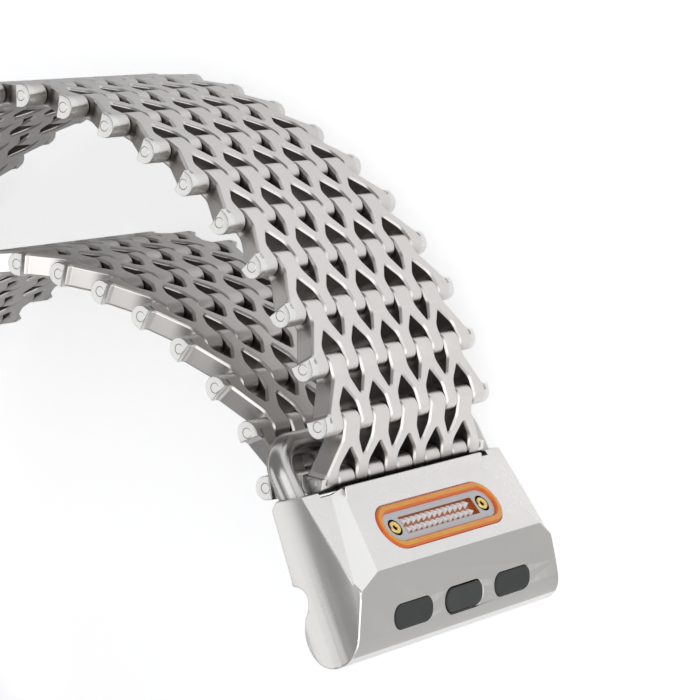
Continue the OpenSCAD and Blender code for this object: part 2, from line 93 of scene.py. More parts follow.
def heading(angle: float) -> Vector:
    """Unit vector of the plan at an angle in degrees."""
    return Vector((math.cos(math.radians(angle)), math.sin(math.radians(angle))))


@dataclass(frozen=True)
class Route:
    """Places of the hinge pins in the plan, worked out as in the part's source."""

    pitch: float = 3.8
    knuckle_r: float = 0.8
    turn_drop: float = 2.6
    turn_heading: float = 185.3
    outer_heading: float = 78.6
    outer_first_bends: tuple[float, ...] = (0.0, 24.7, 10.3, 8.9)
    outer_bend: float = 7.1
    outer_rise_rows: int = 10
    outer_crown_bend: float = 11.0
    outer_tail_bend: float = 4.5
    outer_rows: int = 16
    crown_rows: int = 3
    inner_heading: float = 108.6
    inner_first_bends: tuple[float, ...] = (0.0, 20.7)
    inner_bend: float = 7.9
    inner_rise_rows: int = 7
    inner_crown_bend: float = 10.5
    inner_flat_rows: int = 2
    inner_flat_bend: float = 3.0
    inner_rows: int = 24
    far_bend: float = 10.6
    tab_length: float = 13.5
    tab_thickness: float = 2.6
    case_length: float = 8.85
    bulb_r: float = 2.15
    crease: Point = (7.1, -7.85)
    half_width: float = 12.5

    @staticmethod
    def headings(first: float, bends: list[float]) -> list[float]:
        """Headings of a strand's rows.

        Args:
            first: heading before the first bend, in degrees.
            bends: bend at each row's hinge, in degrees.

        Returns:
            The heading of each row, in degrees.
        """
        angles, angle = [], first
        for bend in bends:
            angle += bend
            angles.append(angle)
        return angles

    def outer_headings(self) -> list[float]:
        """Headings of the outer strand's rows.

        Returns:
            The heading of each row, in degrees.
        """
        bends = list(self.outer_first_bends)
        bends += [self.outer_bend] * (self.outer_rise_rows - len(bends))
        bends += [self.outer_crown_bend] * self.crown_rows
        bends += [self.outer_tail_bend] * (self.outer_rows - len(bends))
        return self.headings(self.outer_heading, bends)

    def inner_headings(self) -> list[float]:
        """Headings of the inner strand's rows.

        Returns:
            The heading of each row, in degrees.
        """
        bends = list(self.inner_first_bends)
        bends += [self.inner_bend] * (self.inner_rise_rows - len(bends))
        bends += [self.inner_crown_bend] * self.crown_rows
        bends += [self.inner_flat_bend] * self.inner_flat_rows
        bends += [self.far_bend] * (self.inner_rows - len(bends))
        return self.headings(self.inner_heading, bends)

    def walk(self, start: Vector, angles: list[float]) -> list[Vector]:
        """Pins of a strand.

        Args:
            start: the strand's first pin.
            angles: heading of each row, in degrees.

        Returns:
            The pins, from the first one on.
        """
        pins = [start]
        for angle in angles:
            pins.append(pins[-1] + self.pitch * heading(angle))
        return pins

    def turn_pins(self) -> tuple[Vector, Vector]:
        """Pins of the row under the loop.

        Returns:
            The foot of the outer strand and the foot of the inner strand.
        """
        middle = self.turn_drop * heading(self.turn_heading + 90)
        half = self.pitch / 2 * heading(self.turn_heading)
        return middle - half, middle + half

    def outer_pins(self) -> list[Vector]:
        """Pins of the outer strand."""
        return self.walk(self.turn_pins()[0], self.outer_headings())

    def inner_pins(self) -> list[Vector]:
        """Pins of the inner strand."""
        return self.walk(self.turn_pins()[1], self.inner_headings())

    def tab_heading(self) -> float:
        """Heading of the magnet tab."""
        return self.outer_headings()[-1] + self.outer_tail_bend

    def case_heading(self) -> float:
        """Heading of the case lug."""
        return self.inner_headings()[-1] + self.far_bend

    def centre(self) -> Vector:
        """Middle of the plan's box.

        Returns:
            The part's origin, in the plan.
        """
        outer, inner = self.outer_pins(), self.inner_pins()
        tab_end = outer[-1] + self.tab_length * heading(self.tab_heading())
        tab_end += self.tab_thickness / 2 * heading(self.tab_heading() - 90)
        case_end = inner[-1] + self.case_length * heading(self.case_heading())
        low_x = min([pin.x - self.knuckle_r for pin in outer + inner] + [tab_end.x])
        high_y = max(pin.y for pin in outer) + self.knuckle_r
        low_y = min([case_end.y - self.bulb_r] + [pin.y - self.knuckle_r for pin in inner])
        return Vector(((low_x + self.crease[0]) / 2, (high_y + low_y) / 2))

    def place(self, at: Vector, angle: float, flip: bool = False) -> Matrix:
        """Matrix from a piece's own millimetres to the part's metres.

        Args:
            at: point of the plan that the piece's origin takes.
            angle: heading of the piece's x axis, in degrees.
            flip: True to turn the piece half a turn about its x axis.

        Returns:
            The matrix that places the piece.
        """
        middle = self.centre()
        spot = Vector((at.x - middle.x, at.y - middle.y, self.half_width)) * MM
        turn = Matrix.Rotation(math.radians(angle), 4, "Z")
        over = Matrix.Rotation(math.pi, 4, "X") if flip else Matrix.Identity(4)
        return Matrix.Translation(spot) @ turn @ over @ Matrix.Scale(MM, 4)


# Shader groups and finishes

GRAIN_HEIGHT = 0.00002
# Samples of the ambient occlusion that finds the painted shade in crevices.
PAINTED_SHADE_SAMPLES = 8
MIX_COLOUR_INPUTS = (6, 7)
MIX_COLOUR_OUTPUT = 2
MOTTLE_SHADE = 0.94
COAT_ROUGHNESS = 0.06
ROUGHNESS_SPREAD = (0.85, 1.15)


@dataclass(frozen=True)
class NodeBoard:
    """A node tree, with short ways to place nodes and to join them."""

    tree: bpy.types.NodeTree

    def feed(self, socket: bpy.types.NodeSocket, value: Value) -> None:
        """Joins an input to another node's output, or sets its value.

        Args:
            socket: the input.
            value: an output to join, a number or a vector.
        """
        if isinstance(value, bpy.types.NodeSocket):
            self.tree.links.new(value, socket)
        else:
            socket.default_value = value

    def add(self, kind: str, inputs: dict[str | int, Value] | None = None) -> bpy.types.Node:
        """Places a node.

        Args:
            kind: the node's type, without the leading word that all shader nodes share.
            inputs: what each named or numbered input takes.

        Returns:
            The new node.
        """
        node = self.tree.nodes.new("ShaderNode" + kind)
        for label, value in (inputs or {}).items():
            self.feed(node.inputs[label], value)
        return node

    def group(self, tree: bpy.types.ShaderNodeTree, **inputs: float) -> bpy.types.Node:
        """Places a shared group in a material, with its own input values.

        Args:
            tree: the group.
            inputs: value of each named input.

        Returns:
            The new group node.
        """
        node = self.tree.nodes.new("ShaderNodeGroup")
        node.node_tree = tree
        for label, value in inputs.items():
            node.inputs[label].default_value = value
        return node

    def math(self, operation: str, *values: Value) -> bpy.types.NodeSocket:
        """Places a math node.

        Args:
            operation: what the node works out.
            values: its inputs, in order.

        Returns:
            The result's socket.
        """
        node = self.add("Math", dict(enumerate(values)))
        node.operation = operation
        return node.outputs[0]

    def fade(self, value: bpy.types.NodeSocket, span: Point, ends: Point) -> bpy.types.NodeSocket:
        """Places a smooth step.

        Args:
            value: socket of the value that it follows.
            span: values at which it starts and ends.
            ends: what it gives before and after.

        Returns:
            The result's socket.
        """
        labels = ("Value", "From Min", "From Max", "To Min", "To Max")
        node = self.add("MapRange", dict(zip(labels, (value, *span, *ends))))
        node.interpolation_type = "SMOOTHSTEP"
        return node.outputs["Result"]

    def mix(
        self, mask: bpy.types.NodeSocket, low: Value, high: Value, amount: float = 1.0
    ) -> bpy.types.NodeSocket:
        """Mixes two colours by a mask.

        Args:
            mask: socket of the mask.
            low: colour or socket where the mask is 0.
            high: colour or socket where the mask is 1.
            amount: how much of the mask is used.

        Returns:
            The socket of the mixed colour.
        """
        scaled = self.add("Math", {0: mask, 1: amount})
        scaled.operation = "MULTIPLY"
        scaled.use_clamp = True
        node = self.tree.nodes.new("ShaderNodeMix")
        node.data_type = "RGBA"
        self.feed(node.inputs["Factor"], scaled.outputs[0])
        for place, value in zip(MIX_COLOUR_INPUTS, (low, high)):
            self.feed(node.inputs[place], (*value, 1.0) if isinstance(value, tuple) else value)
        return node.outputs[MIX_COLOUR_OUTPUT]

    def surface(self, grain: bpy.types.Node, colour: bpy.types.NodeSocket, bump: float) -> None:
        """Joins a material's shader to its colour and to the shared grain.

        Args:
            grain: the placed group of the grain.
            colour: socket of the base colour.
            bump: strength of the grain's bump.
        """
        shader = self.tree.nodes["Principled BSDF"]
        height = grain.outputs["Height"]
        raised = self.add("Bump", {"Strength": bump, "Distance": GRAIN_HEIGHT, "Height": height})
        self.feed(shader.inputs["Base Color"], colour)
        self.feed(shader.inputs["Roughness"], grain.outputs["Roughness"])
        self.feed(shader.inputs["Normal"], raised.outputs["Normal"])

    def seen_directly(self) -> bpy.types.NodeSocket:
        """Mask of the rays that show the backdrop.

        Returns:
            A socket that is 1 for camera, glossy and transmission rays.
        """
        path = self.add("LightPath").outputs
        mask = self.math("MAXIMUM", path["Is Camera Ray"], path["Is Glossy Ray"])
        return self.math("MAXIMUM", mask, path["Is Transmission Ray"])


class NodeGroups:
    """Shader groups that several finishes share. They put out only masks and values."""

    def __init__(self) -> None:
        """Builds each group once."""
        self.grain = self._blasted_grain()
        self.wear_and_highlight = self._edge_wear_and_highlight()
        self.painted_shade = self._crevice_painted_shade()

    @staticmethod
    def _start(
        name: str, inputs: dict[str, float], outputs: tuple[str, ...]
    ) -> tuple[NodeBoard, bpy.types.NodeOutputs, bpy.types.NodeInputs]:
        """Makes an empty group.

        Args:
            name: name of the group.
            inputs: float inputs with their defaults.
            outputs: names of its float outputs.

        Returns:
            The group's board, the sockets that bring its inputs in and those that take its outputs.
        """
        tree = bpy.data.node_groups.new(name, "ShaderNodeTree")
        kind = "NodeSocketFloat"
        for label, value in inputs.items():
            tree.interface.new_socket(label, in_out="INPUT", socket_type=kind).default_value = value
        for label in outputs:
            tree.interface.new_socket(label, in_out="OUTPUT", socket_type=kind)
        source, sink = tree.nodes.new("NodeGroupInput"), tree.nodes.new("NodeGroupOutput")
        return NodeBoard(tree), source.outputs, sink.inputs

    def _blasted_grain(self) -> bpy.types.ShaderNodeTree:
        """Fine blasted grain of satin metal and moulded plastic.

        Returns:
            The group, which puts out a height, a mask for the colour and a roughness.
        """
        defaults = {"Scale": 9000.0, "Low": 0.26, "High": 0.36}
        outputs = ("Height", "Mottle", "Roughness")
        board, source, sink = self._start("blasted_grain", defaults, outputs)
        where = board.add("TexCoord").outputs["Object"]
        fine = board.add("TexNoise", {"Vector": where, "Scale": source["Scale"], "Detail": 3.0})
        broad = board.add("TexNoise", {"Vector": where, "Scale": 420.0, "Detail": 4.0})
        ends = {"Value": broad.outputs["Fac"], "To Min": source["Low"], "To Max": source["High"]}
        spread = board.add("MapRange", ends)
        board.feed(sink["Height"], fine.outputs["Fac"])
        board.feed(sink["Mottle"], broad.outputs["Fac"])
        board.feed(sink["Roughness"], spread.outputs["Result"])
        return board.tree

    def _edge_wear_and_highlight(self) -> bpy.types.ShaderNodeTree:
        """Mask of the outer edges, broken up by noise: edge wear, and a painted highlight along the
        edges.

        Returns:
            The group, which puts out the mask.
        """
        board, source, sink = self._start("edge_wear_and_highlight", {"Start": 0.52, "Spread": 0.08}, ("Mask",))
        # Edge wear and painted highlight: pointiness finds the outer edges that are brightened.
        edge = board.add("NewGeometry").outputs["Pointiness"]
        ending = board.math("ADD", source["Start"], source["Spread"])
        span = {"Value": edge, "From Min": source["Start"], "From Max": ending}
        rise = board.add("MapRange", span)
        where = board.add("TexCoord").outputs["Object"]
        patches = board.add("TexNoise", {"Vector": where, "Scale": 1500.0})
        mask = board.math("MULTIPLY", rise.outputs["Result"], patches.outputs["Fac"])
        board.feed(sink["Mask"], mask)
        return board.tree

    def _crevice_painted_shade(self) -> bpy.types.ShaderNodeTree:
        """Mask of the narrow gaps, where the colour is darkened as painted shade.

        Returns:
            The group, which puts out the mask.
        """
        defaults = {"Reach": 0.0012, "Power": 1.0}
        board, source, sink = self._start("crevice_painted_shade", defaults, ("Mask",))
        # Painted shade: ambient occlusion finds the gaps whose colour is darkened.
        shade = board.add("AmbientOcclusion", {"Distance": source["Reach"]})
        shade.samples = PAINTED_SHADE_SAMPLES
        hidden = board.math("SUBTRACT", 1.0, shade.outputs["AO"])
        board.feed(sink["Mask"], board.math("POWER", hidden, source["Power"]))
        return board.tree


def new_material(name: str) -> tuple[bpy.types.Material, NodeBoard]:
    """Makes a material with a plain Principled shader.

    Args:
        name: name of the material.

    Returns:
        The material and its node board.
    """
    material = bpy.data.materials.new(name)
    material.use_nodes = True
    return material, NodeBoard(material.node_tree)


@dataclass(frozen=True)
class MetalFinish:
    """Satin or polished metal with grain, edges brightened by wear and a painted highlight, and
    painted shade in its crevices.
    """

    name: str
    base: Colour
    # dark is the colour of the painted shade in crevices; bright is the colour of worn edges with
    # their painted highlight.
    dark: Colour
    bright: Colour
    rough_low: float = 0.26
    rough_high: float = 0.36
    bump: float = 0.03
    # How much painted shade darkens the crevices and how far it reaches, then how much the edges
    # brighten.
    painted_shade: float = 0.8
    painted_shade_reach: float = 0.0012
    wear_and_highlight: float = 0.6

    def build(self, groups: NodeGroups) -> bpy.types.Material:
        """Makes the material.

        Args:
            groups: the shared shader groups.

        Returns:
            The finished material.
        """
        material, board = new_material(self.name)
        board.tree.nodes["Principled BSDF"].inputs["Metallic"].default_value = 1.0
        grain = board.group(groups.grain, Low=self.rough_low, High=self.rough_high)
        # Edge wear and painted highlight: the colour brightens towards the bright colour on outer
        # edges.
        wear_and_highlight = board.group(groups.wear_and_highlight).outputs["Mask"]
        # Painted shade: the colour darkens towards the dark colour in crevices.
        painted_shade = board.group(groups.painted_shade, Reach=self.painted_shade_reach).outputs["Mask"]
        shade = tuple(part * MOTTLE_SHADE for part in self.base)
        mottled = board.mix(grain.outputs["Mottle"], shade, self.base)
        edged = board.mix(wear_and_highlight, mottled, self.bright, self.wear_and_highlight)
        board.surface(grain, board.mix(painted_shade, edged, self.dark, self.painted_shade), self.bump)
        return material


@dataclass(frozen=True)
class CoatedFinish:
    """Enamel, moulded plastic or rubber, with a slow colour change and an optional clear coat."""

    name: str
    base: Colour
    other: Colour
    roughness: float = 0.3
    coat: float = 0.0
    mottle_scale: float = 300.0
    bump: float = 0.05

    def build(self, groups: NodeGroups) -> bpy.types.Material:
        """Makes the material.

        Args:
            groups: the shared shader groups.

        Returns:
            The finished material.
        """
        material, board = new_material(self.name)
        shader = board.tree.nodes["Principled BSDF"]
        shader.inputs["Coat Weight"].default_value = self.coat
        shader.inputs["Coat Roughness"].default_value = COAT_ROUGHNESS
        low, high = (self.roughness * part for part in ROUGHNESS_SPREAD)
        grain = board.group(groups.grain, Low=low, High=high)
        where = board.add("TexCoord").outputs["Object"]
        drift = board.add("TexNoise", {"Vector": where, "Scale": self.mottle_scale})
        board.surface(grain, board.mix(drift.outputs["Fac"], self.base, self.other), self.bump)
        return material


# Each metal's dark colour is painted shade in its crevices, and its bright colour is edge wear with
# a painted highlight.
METALS = {
    Finish.LINK: MetalFinish(
        "link_titanium", (0.74, 0.715, 0.69), (0.05, 0.045, 0.04), (0.86, 0.84, 0.81)
    ),
    # Darker copy of the link metal on the notch walls: painted shade.
    Finish.SHADED_HOLLOW: MetalFinish(
        "link_hollows_painted_shade", (0.3, 0.28, 0.26), (0.03, 0.027, 0.025), (0.62, 0.6, 0.58), 0.3, 0.4
    ),
    Finish.PIN: MetalFinish(
        "pin_ends", (0.8, 0.79, 0.77), (0.1, 0.1, 0.1), (0.92, 0.92, 0.9), 0.24, 0.3,
        painted_shade=0.5, painted_shade_reach=0.0004,
    ),
    Finish.LUG: MetalFinish(
        "lug_titanium", (0.8, 0.785, 0.765), (0.12, 0.11, 0.1), (0.92, 0.9, 0.88), 0.24, 0.3,
        painted_shade=0.3, wear_and_highlight=0.3,
    ),
    Finish.RAIL: MetalFinish(
        "rail_titanium", (0.46, 0.45, 0.43), (0.1, 0.1, 0.1), (0.7, 0.68, 0.66), 0.3, 0.36, painted_shade=0.3
    ),
    # Lighter copy of the lug metal on the bevel facet: painted highlight.
    Finish.BEVEL: MetalFinish(
        "bevel_painted_highlight", (0.93, 0.92, 0.9), (0.3, 0.3, 0.3), (0.96, 0.95, 0.93), 0.3, 0.36,
        wear_and_highlight=0.2,
    ),
    # Near-black titanium in the seat and the rivet seats: painted shade.
    Finish.SHADED_SEAT: MetalFinish(
        "seat_painted_shade", (0.08, 0.075, 0.07), (0.02, 0.02, 0.02), (0.9, 0.88, 0.86), 0.34, 0.42
    ),
    Finish.WIRE: MetalFinish(
        "loop_wire", (0.6, 0.585, 0.57), (0.05, 0.05, 0.05), (0.9, 0.9, 0.9), 0.2, 0.26
    ),
    Finish.GOLD: MetalFinish(
        "gold_rivet", (0.85, 0.6, 0.2), (0.12, 0.08, 0.03), (0.95, 0.8, 0.4), 0.15, 0.22
    ),
    Finish.COVER: MetalFinish(
        "tab_cover", (0.5, 0.49, 0.48), (0.08, 0.08, 0.08), (0.8, 0.8, 0.8), 0.3, 0.4
    ),
    Finish.SPRING: MetalFinish(
        "spring_steel", (0.4, 0.4, 0.4), (0.05, 0.05, 0.05), (0.7, 0.7, 0.7)
    ),
    Finish.MAGNET: MetalFinish(
        "nickel_plate", (0.5, 0.5, 0.49), (0.1, 0.1, 0.1), (0.7, 0.7, 0.7), 0.15, 0.2
    ),
}

COATINGS = {
    Finish.AMBER: CoatedFinish(
        "amber_enamel", (1.0, 0.27, 0.004), (1.0, 0.56, 0.02), 0.2, 0.2, 700.0
    ),
    # Darker red for the ring's sides: painted shade.
    Finish.AMBER_SHADED_SIDE: CoatedFinish(
        "amber_rim_painted_shade", (0.92, 0.09, 0.003), (1.0, 0.24, 0.006), 0.25, 0.2, 500.0
    ),
    Finish.PLATE: CoatedFinish(
        "inlay_plate", (0.62, 0.62, 0.63), (0.7, 0.7, 0.71), 0.25, 0.3, 400.0
    ),
    Finish.RECESS: CoatedFinish(
        "inlay_recess", (0.2, 0.035, 0.015), (0.75, 0.2, 0.03), 0.3, 0.4, 1800.0
    ),
    Finish.TOOTH: CoatedFinish(
        "white_tooth", (0.96, 0.955, 0.94), (0.99, 0.985, 0.975), 0.25, 0.5
    ),
    Finish.RUBBER: CoatedFinish(
        "black_rubber", (0.02, 0.021, 0.021), (0.03, 0.031, 0.03), 0.6, bump=0.2
    ),
    Finish.LATCH: CoatedFinish(
        "black_latch", (0.022, 0.023, 0.023), (0.03, 0.031, 0.03), 0.5, bump=0.15
    ),
}


def all_finishes() -> dict[Finish, bpy.types.Material]:
    """Builds every finish of the bracelet.

    Returns:
        The materials by their named finish.
    """
    groups = NodeGroups()
    recipes = {**METALS, **COATINGS}
    return {finish: recipe.build(groups) for finish, recipe in recipes.items()}


# Making, rounding and handing over of a piece


@dataclass
class Bench:
    """What every sub-assembly needs to make and hand over a piece."""

    route: Route
    finishes: dict[Finish, bpy.types.Material]
    weld_gap: float = 0.004
    sharp: float = 38.0
    made: list[str] = field(default_factory=list)

    def new_object(self, name: str, mesh: bpy.types.Mesh) -> bpy.types.Object:
        """Links a mesh to the scene.

        Args:
            name: name of the new object.
            mesh: its mesh.

        Returns:
            The new object.
        """
        piece = bpy.data.objects.new(name, mesh)
        bpy.context.scene.collection.objects.link(piece)
        return piece

    def from_bmesh(self, name: str, shape: Shape) -> bpy.types.Object:
        """Turns a shape into a linked object, with its normals outward.

        Args:
            name: name of the new object.
            shape: the shape, which is used up.

        Returns:
            The new object.
        """
        bmesh.ops.recalc_face_normals(shape, faces=shape.faces)
        mesh = bpy.data.meshes.new(name)
        shape.to_mesh(mesh)
        shape.free()
        return self.new_object(name, mesh)

    def scrap(self, piece: bpy.types.Object) -> None:
        """Deletes a piece that is used up, with its mesh.

        Args:
            piece: the piece.
        """
        mesh = piece.data
        bpy.data.objects.remove(piece)
        bpy.data.meshes.remove(mesh)

    def evaluated(self, piece: bpy.types.Object) -> bpy.types.Mesh:
        """Applies a piece's modifiers.

        Args:
            piece: the piece, which is used up.

        Returns:
            The mesh with its modifiers applied, under the piece's name.
        """
        bpy.context.view_layer.update()
        graph = bpy.context.evaluated_depsgraph_get()
        mesh = bpy.data.meshes.new_from_object(piece.evaluated_get(graph))
        mesh.name = piece.name
        self.scrap(piece)
        return mesh

    def combine(
        self, base: bpy.types.Object, other: bpy.types.Object, how: str
    ) -> bpy.types.Object:
        """Joins, cuts or intersects two closed pieces.

        Args:
            base: piece that stays.
            other: piece that is used up.
            how: UNION, DIFFERENCE or INTERSECT.

        Returns:
            The new piece, under the base's name.
        """
        name = base.name
        cut = base.modifiers.new(how.lower(), "BOOLEAN")
        cut.object = other
        cut.operation = how
        cut.solver = "MANIFOLD"
        mesh = self.evaluated(base)
        self.scrap(other)
        return self.new_object(name, mesh)

    def rounded_edges(
        self,
        piece: bpy.types.Object,
        width: float,
        segments: int = 3,
        limit: float = 32.0,
        sharp: float | None = None,
    ) -> bpy.types.Mesh:
        """Rounds a piece's sharp edges and smooths its shading.

        Args:
            piece: piece in its own millimetres, which is used up.
            width: width of the rounding, in millimetres.
            segments: steps in the rounding.
            limit: edges that turn by more than this angle are rounded, in degrees.
            sharp: edges that still turn by more than this angle shade as sharp, in degrees.

        Returns:
            The rounded mesh.
        """
        weld = piece.modifiers.new("weld", "WELD")
        weld.merge_threshold = self.weld_gap
        bevel = piece.modifiers.new("round", "BEVEL")
        bevel.width = width
        bevel.segments = segments
        bevel.limit_method = "ANGLE"
        bevel.angle_limit = math.radians(limit)
        bevel.use_clamp_overlap = False
        return self.smoothed(piece, sharp)

    def smoothed(self, piece: bpy.types.Object, sharp: float | None = None) -> bpy.types.Mesh:
        """Gives a piece smooth shading that stays flat on its flat faces.

        Args:
            piece: the piece, which is used up.
            sharp: edges that turn by more than this angle shade as sharp, in degrees.

        Returns:
            The smoothed mesh.
        """
        name = piece.name
        mesh = self.evaluated(piece)
        mesh.polygons.foreach_set("use_smooth", [True] * len(mesh.polygons))
        mesh.set_sharp_from_angle(angle=math.radians(sharp or self.sharp))
        again = self.new_object(name, mesh)
        weights = again.modifiers.new("flat", "WEIGHTED_NORMAL")
        weights.keep_sharp = True
        weights.mode = "FACE_AREA"
        return self.evaluated(again)

    def hand_over(
        self,
        name: str,
        mesh: bpy.types.Mesh,
        matrix: Matrix,
        body: str,
        finishes: tuple[Finish, ...],
        slot: str,
        node: str,
    ) -> None:
        """Places a finished mesh, dresses it and ties it to its body.

        Args:
            name: name of the piece.
            mesh: mesh in its own millimetres; a copy is used.
            matrix: placing matrix to the part's metres.
            body: body that the piece rides on.
            finishes: finishes by material index.
            slot: the record's material slot; not used.
            node: CAD node that the piece stands for.
        """
        own = mesh.copy()
        own.name = name
        own.transform(matrix)
        last = len(finishes) - 1
        places = [min(polygon.material_index, last) for polygon in own.polygons]
        own.materials.clear()
        for finish in finishes:
            own.materials.append(self.finishes[finish])
        own.polygons.foreach_set("material_index", places)
        piece = self.new_object(name, own)
        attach(piece, body)
        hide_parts(node)
        self.made.append(name)
        LOG.info("made %s on %s, %d faces", name, body, len(own.polygons))


# Outlines and shapes

STRAIGHT_HALF_ANGLE = 1.55
LONGEST_RUN = 0.48
SAME_SPOT = 1e-6


def circle_points(radius: float, count: int) -> list[Point]:
    """Points round a circle, anticlockwise."""
    angles = [2 * math.pi * step / count for step in range(count)]
    return [(radius * math.cos(angle), radius * math.sin(angle)) for angle in angles]


def rounded_outline(corners: list[Corner], steps: int = 5) -> list[Point]:
    """Outline with each corner rounded by its own radius.

    Args:
        corners: x, y and radius of each corner; a radius of 0 keeps the corner.
        steps: steps in each rounding.

    Returns:
        The points of the outline.
    """
    points: list[Point] = []
    for index, (x, y, radius) in enumerate(corners):
        here = Vector((x, y))
        before = Vector(corners[index - 1][:2]) - here
        after = Vector(corners[(index + 1) % len(corners)][:2]) - here
        half = before.angle(after) / 2
        if radius == 0.0 or half > STRAIGHT_HALF_ANGLE:
            points.append((x, y))
            continue
        run = min(radius / math.tan(half), LONGEST_RUN * before.length, LONGEST_RUN * after.length)
        reach = run * math.tan(half)
        inward = (before.normalized() + after.normalized()).normalized()
        middle = here + inward * math.hypot(run, reach)
        first = here + before.normalized() * run - middle
        turn = math.pi - 2 * half
        sign = 1.0 if before.x * after.y - before.y * after.x < 0 else -1.0
        for step in range(steps + 1):
            spoke = first.copy()
            spoke.rotate(Matrix.Rotation(sign * turn * step / steps, 2))
            points.append((middle.x + spoke.x, middle.y + spoke.y))
    return points


def rounded_rectangle(length: float, width: float, radius: float, steps: int = 8) -> list[Point]:
    """Outline of a rectangle with round corners, anticlockwise.

    Args:
        length: size along x.
        width: size along y.
        radius: radius of the corners.
        steps: steps in each corner.

    Returns:
        The points of the outline.
    """
    points = []
    for corner, (sx, sy) in enumerate(((1, 1), (-1, 1), (-1, -1), (1, -1))):
        for step in range(steps + 1):
            angle = QUARTER * (corner + step / steps)
            x = sx * (length / 2 - radius) + radius * math.cos(angle)
            y = sy * (width / 2 - radius) + radius * math.sin(angle)
            points.append((x, y))
    return points


def stadium_points(apart: float, radius: float, steps: int = 24) -> list[Point]:
    """Outline of a stadium, anticlockwise.

    Args:
        apart: distance between the middles of its round ends, along y.
        radius: radius of its round ends.
        steps: steps in each end.

    Returns:
        The points of the outline.
    """
    points = []
    for end in (1, -1):
        for step in range(steps + 1):
            angle = math.pi * step / steps + (0 if end > 0 else math.pi)
            points.append((radius * math.cos(angle), end * apart / 2 + radius * math.sin(angle)))
    return points


def prism(points: list[Point], low: float, high: float) -> Shape:
    """Closed prism over an outline in x and y.

    Args:
        points: the outline, anticlockwise.
        low: z of its foot.
        high: z of its top.

    Returns:
        The prism.
    """
    shape = bmesh.new()
    bottom = [shape.verts.new((x, y, low)) for x, y in points]
    top = [shape.verts.new((x, y, high)) for x, y in points]
    shape.faces.new(list(reversed(bottom)))
    shape.faces.new(top)
    for index in range(len(points)):
        after = (index + 1) % len(points)
        shape.faces.new((bottom[index], bottom[after], top[after], top[index]))
    return shape


def skin(rings: list[list[Vector]], closed: bool = False) -> Shape:
    """Closed skin over rings of equal count.

    Args:
        rings: the rings, in order.
        closed: True where the last ring joins the first; else both ends are capped.

    Returns:
        The skinned shape.
    """
    shape = bmesh.new()
    made = [[shape.verts.new(point) for point in ring] for ring in rings]
    count = len(rings[0])
    spans = len(rings) if closed else len(rings) - 1
    for index in range(spans):
        one, two = made[index], made[(index + 1) % len(rings)]
        for step in range(count):
            after = (step + 1) % count
            shape.faces.new((one[step], one[after], two[after], two[step]))
    if not closed:
        shape.faces.new(list(reversed(made[0])))
        shape.faces.new(made[-1])
    return shape


def lathe(profile: list[Point], steps: int) -> Shape:
    """Closed shape turned about the z axis.

    Args:
        profile: the turned outline, as radius and z.
        steps: steps round the axis.

    Returns:
        The turned shape.
    """
    shape = bmesh.new()
    made = []
    for step in range(steps):
        angle = 2 * math.pi * step / steps
        c, s = math.cos(angle), math.sin(angle)
        made.append([shape.verts.new((r * c, r * s, z)) for r, z in profile])
    for index in range(steps):
        one, two = made[index], made[(index + 1) % steps]
        for step in range(len(profile)):
            after = (step + 1) % len(profile)
            shape.faces.new((one[step], two[step], two[after], one[after]))
    bmesh.ops.remove_doubles(shape, verts=shape.verts, dist=SAME_SPOT)
    return shape


def moved(shape: Shape, axis: str, angle: float, shift: Corner = (0.0, 0.0, 0.0)) -> Shape:
    """Turns a shape about an axis through the origin, and then shifts it.

    Args:
        shape: the shape.
        axis: X, Y or Z.
        angle: angle of the turn, in radians.
        shift: shift along x, y and z.

    Returns:
        The same shape in its new place.
    """
    bmesh.ops.rotate(shape, verts=shape.verts, matrix=Matrix.Rotation(angle, 3, axis))
    bmesh.ops.translate(shape, verts=shape.verts, vec=shift)
    return shape


def block(size: Corner, middle: Corner) -> Shape:
    """Block that serves as a cutting tool.

    Args:
        size: size along x, y and z.
        middle: place of its middle.

    Returns:
        The block.
    """
    shape = bmesh.new()
    bmesh.ops.create_cube(shape, size=1.0)
    bmesh.ops.scale(shape, verts=shape.verts, vec=size)
    bmesh.ops.translate(shape, verts=shape.verts, vec=middle)
    return shape


def merge_into(target: Shape, source: Shape, material: int) -> None:
    """Adds a shape to another as a shell of its own.

    Args:
        target: shape that grows.
        source: shape that is used up.
        material: material index of the added faces.
    """
    known = {vert: target.verts.new(vert.co) for vert in source.verts}
    for face in source.faces:
        target.faces.new([known[vert] for vert in face.verts]).material_index = material
    source.free()


def finish_faces(
    mesh: bpy.types.Mesh,
    finishes: tuple[Finish, ...],
    choose: Callable[[bpy.types.MeshPolygon], Finish],
) -> None:
    """Gives each face of a mesh the place of its chosen finish among the finishes."""
    for polygon in mesh.polygons:
        polygon.material_index = finishes.index(choose(polygon))


# The strap's rows


